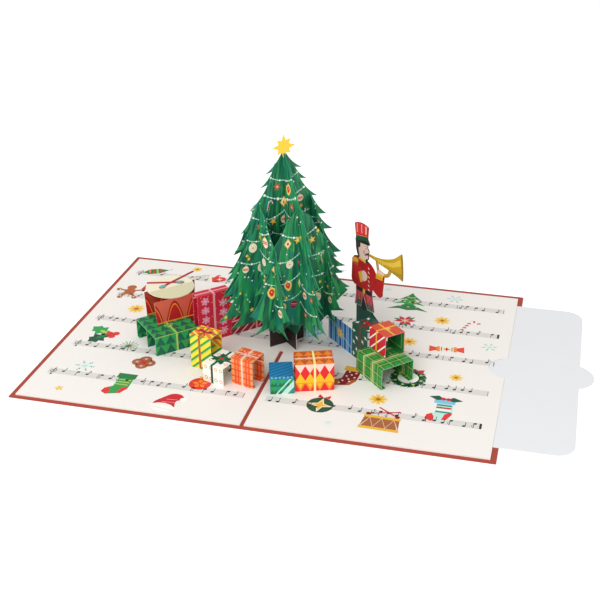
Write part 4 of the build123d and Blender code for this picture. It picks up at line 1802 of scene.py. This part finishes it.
    def build(self, motifs: Motifs) -> None:
        """Print each gift and stamp its bow and its figures.

        Args:
            motifs: ornaments to stamp.
        """
        papers = {paper.node: paper for paper in self.papers()}
        for name, paper in papers.items():
            assign(name, paper.build())
        places = {name: Standing(name, paper.heading) for name, paper in papers.items()}
        tops = (
            ("triangle_gift", "lime_bow", 13.0, 10.6, 0.6),
            ("starry_gift", "wine_bow", 7.4, 6.0, 1.0),
            ("red_striped_gift", "gold_bow", 7.5, 6.2, 0.45),
            ("yellow_gift", "red_bow", 6.2, 5.6, 1.0),
            ("white_gift", "holly_bow", 6.4, 8.4, 0.95),
            ("orange_gift", "thin_bow", 6.7, 5.6, 1.0),
        )
        prints = {name: Print(name + "_print", slot_of(name)) for name in papers}
        for name, bow, along, behind, size in tops:
            prints[name].stamp(motifs.get(bow), places[name].top_face(), (along, behind), size)
        flake = places["snowflake_gift"]
        for face in (flake.front_face(), flake.rear_face()):
            for row in range(5):
                for side in (-1, 1):
                    at = (face.width * (0.5 + 0.27 * side), 3.4 + 5.9 * row + 1.2 * side)
                    if at[1] + 2.8 < face.height:
                        prints["snowflake_gift"].stamp(motifs.get("pink_snowflake"), face, at, 0.5, 11 * row)
        blue = places["blue_gift"]
        prints["blue_gift"].stamp(motifs.get("gold_ribbon"), blue.front_face(), (blue.width / 2, 8.2))
        prints["blue_gift"].stamp(motifs.get("gold_bow"), blue.front_face(), (blue.width / 2, 8.2), 0.85)
        starry = places["starry_gift"]
        for face in (starry.front_face(), starry.rear_face(), starry.top_face()):
            for row in range(int(face.height // 3.6)):
                for column in (1.7, 4.5, 10.3, 13.1):
                    if (row + int(column)) % 2:
                        at = (column, 2.2 + 3.6 * row)
                        prints["starry_gift"].stamp(motifs.get("white_sprig"), face, at, 0.36, 25 * row - 3 * column)
        for ink in prints.values():
            ink.finish()


@dataclass
class Drum:
    """Front and rear wall with pointed arches, a creased head and two sticks."""

    arch_centres: tuple[float, float, float] = (-1.6, 10.9, 23.4)
    arch_half: float = 5.4
    arch_height: float = 11.9
    table_height: float = 11.3
    # Width of a wall at its foot, of its trim, and heights of the arches and the trim above it
    wall_width: float = 29.0
    trim_width: float = 28.6
    arch_foot: float = 0.9
    trim_foot: float = 0.6
    stick_beads: tuple[Point, Point] = ((43.6 - 47.8, 0.9), (54.5 - 47.8, 1.1))
    head_centre: Point = (-47.8, 50.4)

    def arch(self, scale: float, start: int = -6) -> list[Point]:
        """Outline of a pointed arch about the middle of its foot.

        Args:
            scale: of the whole arch.
            start: first step from the left, of thirteen steps between -6 and 6.

        Returns:
            Points from left to right.
        """
        points = []
        for step in range(start, 7):
            share = step / 6
            points.append((self.arch_half * scale * share, self.arch_height * scale * (1 - abs(share) ** 1.9)))
        if start > -6:
            points.append((self.arch_half * scale * 0.36, 0.0))
        return points

    def nested_arch(self, name: str, start: int, motifs: Motifs) -> Piece:
        """Three arches of falling size, one on another.

        Args:
            name: of the motif.
            start: first step of their outline.
            motifs: makes the inked shapes.

        Returns:
            The motif.
        """
        nest = ((Ink.WALL_RED, 1.0), (Ink.ORANGE, 0.86), (Ink.SCARLET, 0.77))
        shapes = [
            motifs.outline(ink, self.arch(scale, start), layer)
            for layer, (ink, scale) in enumerate(nest, 1)
        ]
        return motifs.motif(name, *shapes)

    def print_wall(self, node: str, ground: Ink, foot: float, motifs: Motifs) -> None:
        """Print one wall with its arches and trims, on both sides.

        Args:
            node: of the wall.
            ground: ink behind the arches.
            foot: height of the print above the wall's own foot.
            motifs: makes the inked shapes.
        """
        assign(node, WrappingPaper(node, WING, ground).build())
        wall = Standing(node, WING)
        ink = Print(node + "_print", slot_of(node))
        whole = self.nested_arch("arch", -6, motifs)
        half = self.nested_arch("half_arch", 1, motifs)
        flare = (wall.width - self.wall_width) / 2
        trim = motifs.motif(
            "trim", motifs.bar(Ink.ORANGE, self.trim_width, 0.9, 1), motifs.bar(Ink.GOLD, self.trim_width, 0.35, 2)
        )
        for face in (wall.front_face(wall.left + flare), wall.rear_face(wall.left + wall.width - flare)):
            for arch, centre in zip((half, whole, whole), self.arch_centres):
                ink.stamp(arch, face, (centre, foot + self.arch_foot))
            ink.stamp(trim, face, (self.wall_width / 2, foot + self.trim_foot))
        ink.finish()

    def build(self, motifs: Motifs) -> None:
        """Print the walls, the head and the sticks.

        Args:
            motifs: makes the inked shapes.
        """
        self.print_wall("drum_front_wall", Ink.SALMON, 0.0, motifs)
        self.print_wall("drum_rear_wall", Ink.BRICK, self.table_height, motifs)
        # Painted shade: the front half of the head, which tilts down away from the light, is printed in a darker cream
        painted_shade = (Band(Ink.SHADED_CREAM, 6.6, 14.4, upright=False),)
        assign("drum_head", WrappingPaper("drum_head", WING, Ink.CREAM, painted_shade).build())
        assign("drumsticks", WrappingPaper("drumsticks", WING, Ink.WINE_STICK, core="7A1A20").build())
        sticks = Standing("drumsticks", WING)
        face = sticks.top_face()
        ink = Print("drumstick_beads", slot_of("drumsticks"))
        bead = motifs.motif(
            "bead", motifs.disc(Ink.BEAD, 1.0, 1, stretch=(2.3, 1.5)), motifs.disc(Ink.SKY, 0.5, 2, (-0.4, 0.4))
        )
        for along, behind in self.stick_beads:
            at = (self.head_centre[0] + along - sticks.left, self.head_centre[1] + behind - sticks.front)
            ink.stamp(bead, face, at, 1.0, 25 if along < 0 else -4)
        ink.finish()


@dataclass
class Soldier:
    """Printed figure of a toy soldier with a trumpet, drawn over the shape of the cut card."""

    setback: float = 37.6
    width: float = 60.0
    height: float = 72.0

    def figure(self, plate: Plate) -> Piece:
        """Draw the figure on its own plane, in millimetres from its foot.

        Args:
            plate: makes the inked shapes.

        Returns:
            The whole figure as one motif.
        """
        shapes = [
            # Legs, boots and the gap between the tails
            plate.outline(Ink.PINE_DARK, [
                (14.6, 3.2), (14.4, 24.6), (31.2, 26.4), (31.4, 21.8), (38.0, 18.0), (37.8, 3.8), (34.0, 3.2),
                (33.9, 13.4), (24.0, 15.0), (22.0, 3.4),
            ], 1),
            plate.stroke(Ink.TEAL, [(16.4, 4.0), (16.6, 20.0)], 0.6, 2),
            plate.stroke(Ink.TEAL, [(27.6, 16.0), (28.6, 21.6)], 0.6, 2),
            plate.outline(Ink.BLACK, [(15.8, 0.2), (15.7, 7.0), (22.3, 7.6), (22.5, 0.2)], 3),
            plate.outline(Ink.BLACK, [(33.7, 0.4), (33.7, 7.6), (38.0, 8.2), (38.0, 3.6), (40.2, 1.6), (40.2, 0.4)], 3),
            plate.outline(Ink.BLACK, [(20.7, 30.2), (19.2, 20.6), (21.6, 19.8), (25.4, 21.6)], 2),
            # Tails with upright stripes and pale hems
            *[
                plate.stroke(Ink.PINK, [(14.1 + 1.55 * step, 21.2), (14.6 + 1.55 * step, 30.0)], 0.3, 3)
                for step in range(4)
            ],
            *[
                plate.stroke(Ink.PINK, [(27.0 + 1.35 * step, 22.2), (24.0 + 1.5 * step, 31.2)], 0.3, 3)
                for step in range(4)
            ],
            plate.stroke(Ink.CREAM, [(13.8, 21.0), (19.1, 21.4), (20.8, 30.4), (25.6, 21.8), (31.6, 22.6)], 0.4, 4),
            # Hat with its shine, band and peak
            plate.outline(Ink.BRIGHT_RED, [(11.4, 69.6), (17.6, 72.0), (24.4, 71.6), (24.2, 65.0), (12.8, 62.0)], 1),
            *[plate.bar(Ink.PINK, 1.0, 5.2, 2, (x, 67.6 + 0.2 * (x - 14)), 3) for x in (14.0, 18.4)],
            plate.bar(Ink.PALE_PINK, 1.1, 4.6, 2, (22.6, 68.9), 2),
            plate.outline(Ink.DARK_GREEN, [(12.9, 60.5), (12.7, 62.8), (24.2, 65.5), (24.3, 63.2)], 2),
            plate.stroke(Ink.GOLD, [(12.7, 62.9), (24.2, 65.6)], 0.4, 3),
            plate.outline(Ink.BLACK, [(13.2, 60.2), (24.4, 63.0), (26.4, 61.4), (24.4, 60.9), (18.6, 60.0)], 4),
            # Hair, face and the strap of the hat
            plate.outline(Ink.SKIN, [
                (17.4, 60.2), (24.4, 61.0), (24.3, 58.9), (26.1, 57.5), (25.0, 56.4), (25.3, 53.6), (24.0, 51.4),
                (21.6, 50.1), (17.2, 50.4), (15.4, 55.6),
            ], 1),
            plate.outline(Ink.HAIR, [
                (12.6, 60.2), (17.6, 60.6), (17.2, 57.2), (15.6, 56.4), (15.9, 53.6), (16.6, 50.6), (14.2, 52.4),
                (13.0, 55.6),
            ], 2),
            plate.disc(Ink.SKIN, 0.95, 3, (16.4, 55.4), sides=10, stretch=(0.8, 1.15)),
            plate.disc(Ink.BLUSH, 1.2, 2, (21.2, 55.6), sides=12),
            plate.disc(Ink.BLACK, 0.42, 3, (22.9, 58.2), sides=8, stretch=(0.9, 1.0)),
            plate.stroke(Ink.HAIR, [(21.7, 59.4), (23.9, 59.6)], 0.35, 3),
            plate.outline(Ink.HAIR, [(25.6, 56.3), (23.6, 55.9), (21.4, 53.6), (23.4, 54.4), (25.4, 55.2)], 3),
            plate.outline(Ink.HAIR, [(24.9, 52.6), (23.4, 52.2), (22.4, 50.8), (24.0, 51.2)], 3),
            # Collar, strap, buttons and belt
            plate.outline(Ink.GOLD, [(15.8, 49.6), (22.6, 49.4), (23.0, 50.6), (16.2, 51.0)], 3),
            plate.stroke(Ink.HAIR, [(19.5, 49.4), (19.7, 44.6)], 0.6, 3),
            *[plate.bar(Ink.CREAM, 1.6, 0.5, 3, (26.0 + 0.1 * step, 47.6 - 2.6 * step), -24) for step in range(6)],
            plate.stroke(Ink.DARK_RED, [(24.2, 49.6), (24.4, 44.8)], 0.3, 2),
            plate.outline(Ink.BLACK, [(14.1, 32.3), (14.1, 30.3), (29.1, 31.5), (29.0, 34.1)], 3),
            plate.outline(Ink.GOLD, [(20.7, 30.5), (22.9, 30.7), (22.9, 33.3), (20.7, 33.1)], 4),
            # Rear sleeve with its epaulette, cuff and the hand on the breast
            plate.outline(Ink.RED, [
                (10.0, 46.6), (14.6, 47.6), (17.2, 45.4), (20.6, 44.0), (20.2, 37.0), (16.4, 35.6), (12.6, 37.0),
                (10.2, 41.0),
            ], 2),
            plate.stroke(Ink.DARK_RED, [(10.4, 45.6), (10.7, 41.4), (13.0, 37.4), (17.0, 35.8)], 0.45, 5),
            plate.stroke(Ink.DARK_RED, [(17.6, 46.8), (15.4, 43.8), (15.8, 41.8)], 0.35, 5),
            plate.outline(Ink.GOLD, [(15.7, 41.4), (18.9, 43.4), (20.5, 37.2), (18.3, 36.1)], 6),
            plate.stroke(Ink.DARK_BRASS, [(18.9, 43.4), (20.5, 37.2)], 0.4, 7),
            plate.outline(Ink.SKIN, [
                (19.3, 42.8), (21.2, 44.4), (24.4, 43.0), (24.8, 41.6), (22.8, 38.6), (20.3, 38.3),
            ], 5, smooth=True),
            *[plate.stroke(Ink.BLUSH, [(21.4, 39.6 + step), (24.2, 40.6 + step)], 0.25, 6) for step in (0, 1, 2)],
            plate.outline(Ink.GOLD, [
                (9.8, 45.9), (10.1, 47.9), (11.6, 49.0), (14.6, 49.2), (15.6, 47.6), (12.4, 46.6),
            ], 6, smooth=True),
            *[
                plate.stroke(Ink.BRASS, [(10.2 + 1.2 * step, 46.9), (9.9 + 1.2 * step, 44.9)], 0.55, 6)
                for step in range(5)
            ],
            # Front sleeve with its cuff and hand
            plate.stroke(Ink.DARK_RED, [(33.4, 44.4), (32.0, 40.0), (29.4, 36.4)], 0.4, 2),
            plate.outline(Ink.GOLD, [(33.0, 44.7), (39.4, 45.6), (40.1, 49.4), (33.7, 48.5)], 3),
            plate.outline(Ink.BRASS, [(33.2, 45.5), (39.6, 46.4), (39.7, 47.1), (33.3, 46.2)], 4),
            plate.outline(Ink.SKIN, [(34.2, 48.4), (40.8, 49.0), (40.9, 50.5), (35.6, 50.9)], 4),
            *[
                plate.stroke(Ink.BLUSH, [(36.3 + 1.4 * step, 49.2), (36.4 + 1.4 * step, 50.6)], 0.25, 5)
                for step in (0, 1, 2)
            ],
            # Trumpet
            plate.outline(Ink.BRASS, [
                (25.9, 56.2), (33.0, 56.9), (41.4, 58.9), (49.0, 62.4), (56.4, 68.4), (57.4, 61.4), (58.0, 53.0),
                (47.0, 54.6), (25.9, 55.1),
            ], 1),
            plate.outline(Ink.LIT_BRASS, [
                (28.0, 55.9), (41.6, 57.6), (49.0, 60.2), (55.2, 64.6), (55.8, 61.0), (48.4, 57.2), (41.0, 56.0),
            ], 2),
            plate.outline(Ink.OLIVE_BRASS, [(44.0, 54.6), (56.6, 56.6), (57.6, 53.2), (46.0, 54.0)], 2),
            plate.outline(Ink.DARK_BRASS, [
                (56.7, 68.3), (57.6, 64.4), (58.1, 59.0), (58.2, 52.9), (56.9, 53.2), (56.6, 58.6), (56.0, 64.0),
                (55.4, 66.8),
            ], 3),
            *[plate.bar(Ink.LIT_BRASS, 0.9, 1.6, 5, (x, 55.2)) for x in (35.3, 37.3, 39.3)],
            plate.stroke(Ink.BRASS, [(45.8, 55.0), (45.6, 53.0), (44.6, 51.2), (43.0, 50.0), (41.0, 49.6)], 2.1, 2),
            plate.stroke(Ink.BRASS, [(33.4, 55.0), (34.7, 50.4)], 2.0, 2),
            plate.stroke(Ink.DARK_BRASS, [(26.0, 55.1), (47.0, 54.7), (57.2, 53.0)], 0.35, 3),
        ]
        return plate.motif("soldier", *shapes)

    def build(self, motifs: Motifs) -> None:
        """Print the figure on the front of the cut card.

        Args:
            motifs: makes the inked shapes.
        """
        # Plain fields of colour are all that the rear shows: boots, legs, hair, hat band, trumpet
        fields = (
            Band(Ink.BLACK, 3.8, 7.6, upright=False),
            Band(Ink.PINE_DARK, 14.7, 14.2, upright=False),
            Band(Ink.HAIR, 55.2, 10.2, False, -1.0, 17.0),
            Band(Ink.DARK_GREEN, 62.6, 4.6, False, -1.0, 17.0),
            Band(Ink.BRASS, 56.4, 4.0, False, 17.0, 24.0),
            Band(Ink.BRASS, 58.8, 20.0, False, 24.0, 60.0),
        )
        assign("soldier", WrappingPaper("soldier", -WING, Ink.COAT, fields, core="5A0F12").build())
        run = Vector((math.cos(math.radians(WING)), -math.sin(math.radians(WING)), 0.0))
        back = Vector((-run.y, run.x, 0.0))
        face = Face(back * self.setback + UP * PAGE_TOP, run, UP, self.width, self.height)
        ink = Print("soldier_print", slot_of("soldier"))
        ink.stamp(self.figure(motifs), face, (0.0, 0.0))
        ink.finish()


@dataclass
class Studio:
    """Pale floor, soft light and the camera."""

    # Metres. The roll has a faint light of its own, so that it stays white where the softbox no
    # longer reaches
    floor_size: float = 60.0
    floor_glow: float = 0.22
    room_strength: float = 0.72
    # Large and in front, for soft shadows that fall towards the rear
    softbox_place: tuple[float, float, float] = (-0.18, -0.9, 0.85)
    softbox_aim: tuple[float, float, float] = (0, 0, 0.03)
    softbox_size: float = 0.9
    softbox_power: float = 9.1
    # Film and lens in millimetres, from a focal length in pixels of the 600 pixel wide photograph
    film: float = 36
    lens: float = 36 * 1078.6 / 600
    shift: float = -22.9 / 600
    place: tuple[float, float, float] = (0.14509, -0.51553, 0.30438)
    # Degrees below the horizon, and to the left of straight ahead
    downwards: float = 27.31
    aside: float = 13.52

    def build(self) -> None:
        """Set the floor, the lights and the camera."""
        white = (1.0, 1.0, 1.0, 1.0)
        bpy.ops.object.select_all(action="DESELECT")
        bpy.ops.mesh.primitive_plane_add(size=self.floor_size)
        floor = bpy.context.active_object
        floor.name = "floor"
        paper = PlainCard("matt_white_paper_roll", "FFFFFF", 0.9, 0.002).build()
        shader = paper.node_tree.nodes["Principled BSDF"].inputs
        shader["Emission Color"].default_value = white
        shader["Emission Strength"].default_value = self.floor_glow
        floor.data.materials.append(paper)
        world = bpy.data.worlds.new("soft_room_light")
        world.use_nodes = True
        sky = world.node_tree.nodes["Background"].inputs
        sky["Color"].default_value = white
        sky["Strength"].default_value = self.room_strength
        bpy.context.scene.world = world
        bpy.ops.object.light_add(type="AREA", location=self.softbox_place)
        light = bpy.context.active_object
        light.name = "softbox"
        light.data.size = self.softbox_size
        light.data.energy = self.softbox_power
        aim = Vector(self.softbox_aim) - light.location
        light.rotation_euler = aim.to_track_quat("-Z", "Y").to_euler()
        turn = (math.radians(90 - self.downwards), 0.0, math.radians(self.aside))
        bpy.ops.object.camera_add(location=self.place, rotation=turn)
        camera = bpy.context.active_object
        camera.name = "camera"
        camera.data.sensor_width = self.film
        camera.data.lens = self.lens
        camera.data.shift_x = self.shift
        camera.data.clip_start = 0.01
        bpy.context.scene.camera = camera
        bpy.context.scene.view_settings.view_transform = "Standard"


def slot_of(node: str) -> str:
    """The record's material slot of a node.

    Args:
        node: name in the frame.

    Returns:
        Name of the slot.
    """
    for part in FRAME["record"]["subparts"]:
        if part["node"] == node:
            return part["material_slot"]
    raise KeyError(node)


def assign(node: str, material: bpy.types.Material) -> None:
    """Give a frame node its finish.

    Args:
        node: name in the frame.
        material: finish for all of its slots.
    """
    for slot in FRAME["nodes"][node].material_slots:
        slot.material = material
    LOG.info("%s: %s", node, material.name)


def main() -> None:
    """Dress the card piece by piece."""
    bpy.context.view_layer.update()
    motifs = Motifs()
    Page().build(motifs)
    Gifts().build(motifs)
    Drum().build(motifs)
    Soldier().build(motifs)
    Tree().build(motifs)
    Studio().build()
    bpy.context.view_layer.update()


if __name__ == "__main__":
    logging.basicConfig(level=logging.INFO, format="%(message)s")
    main()
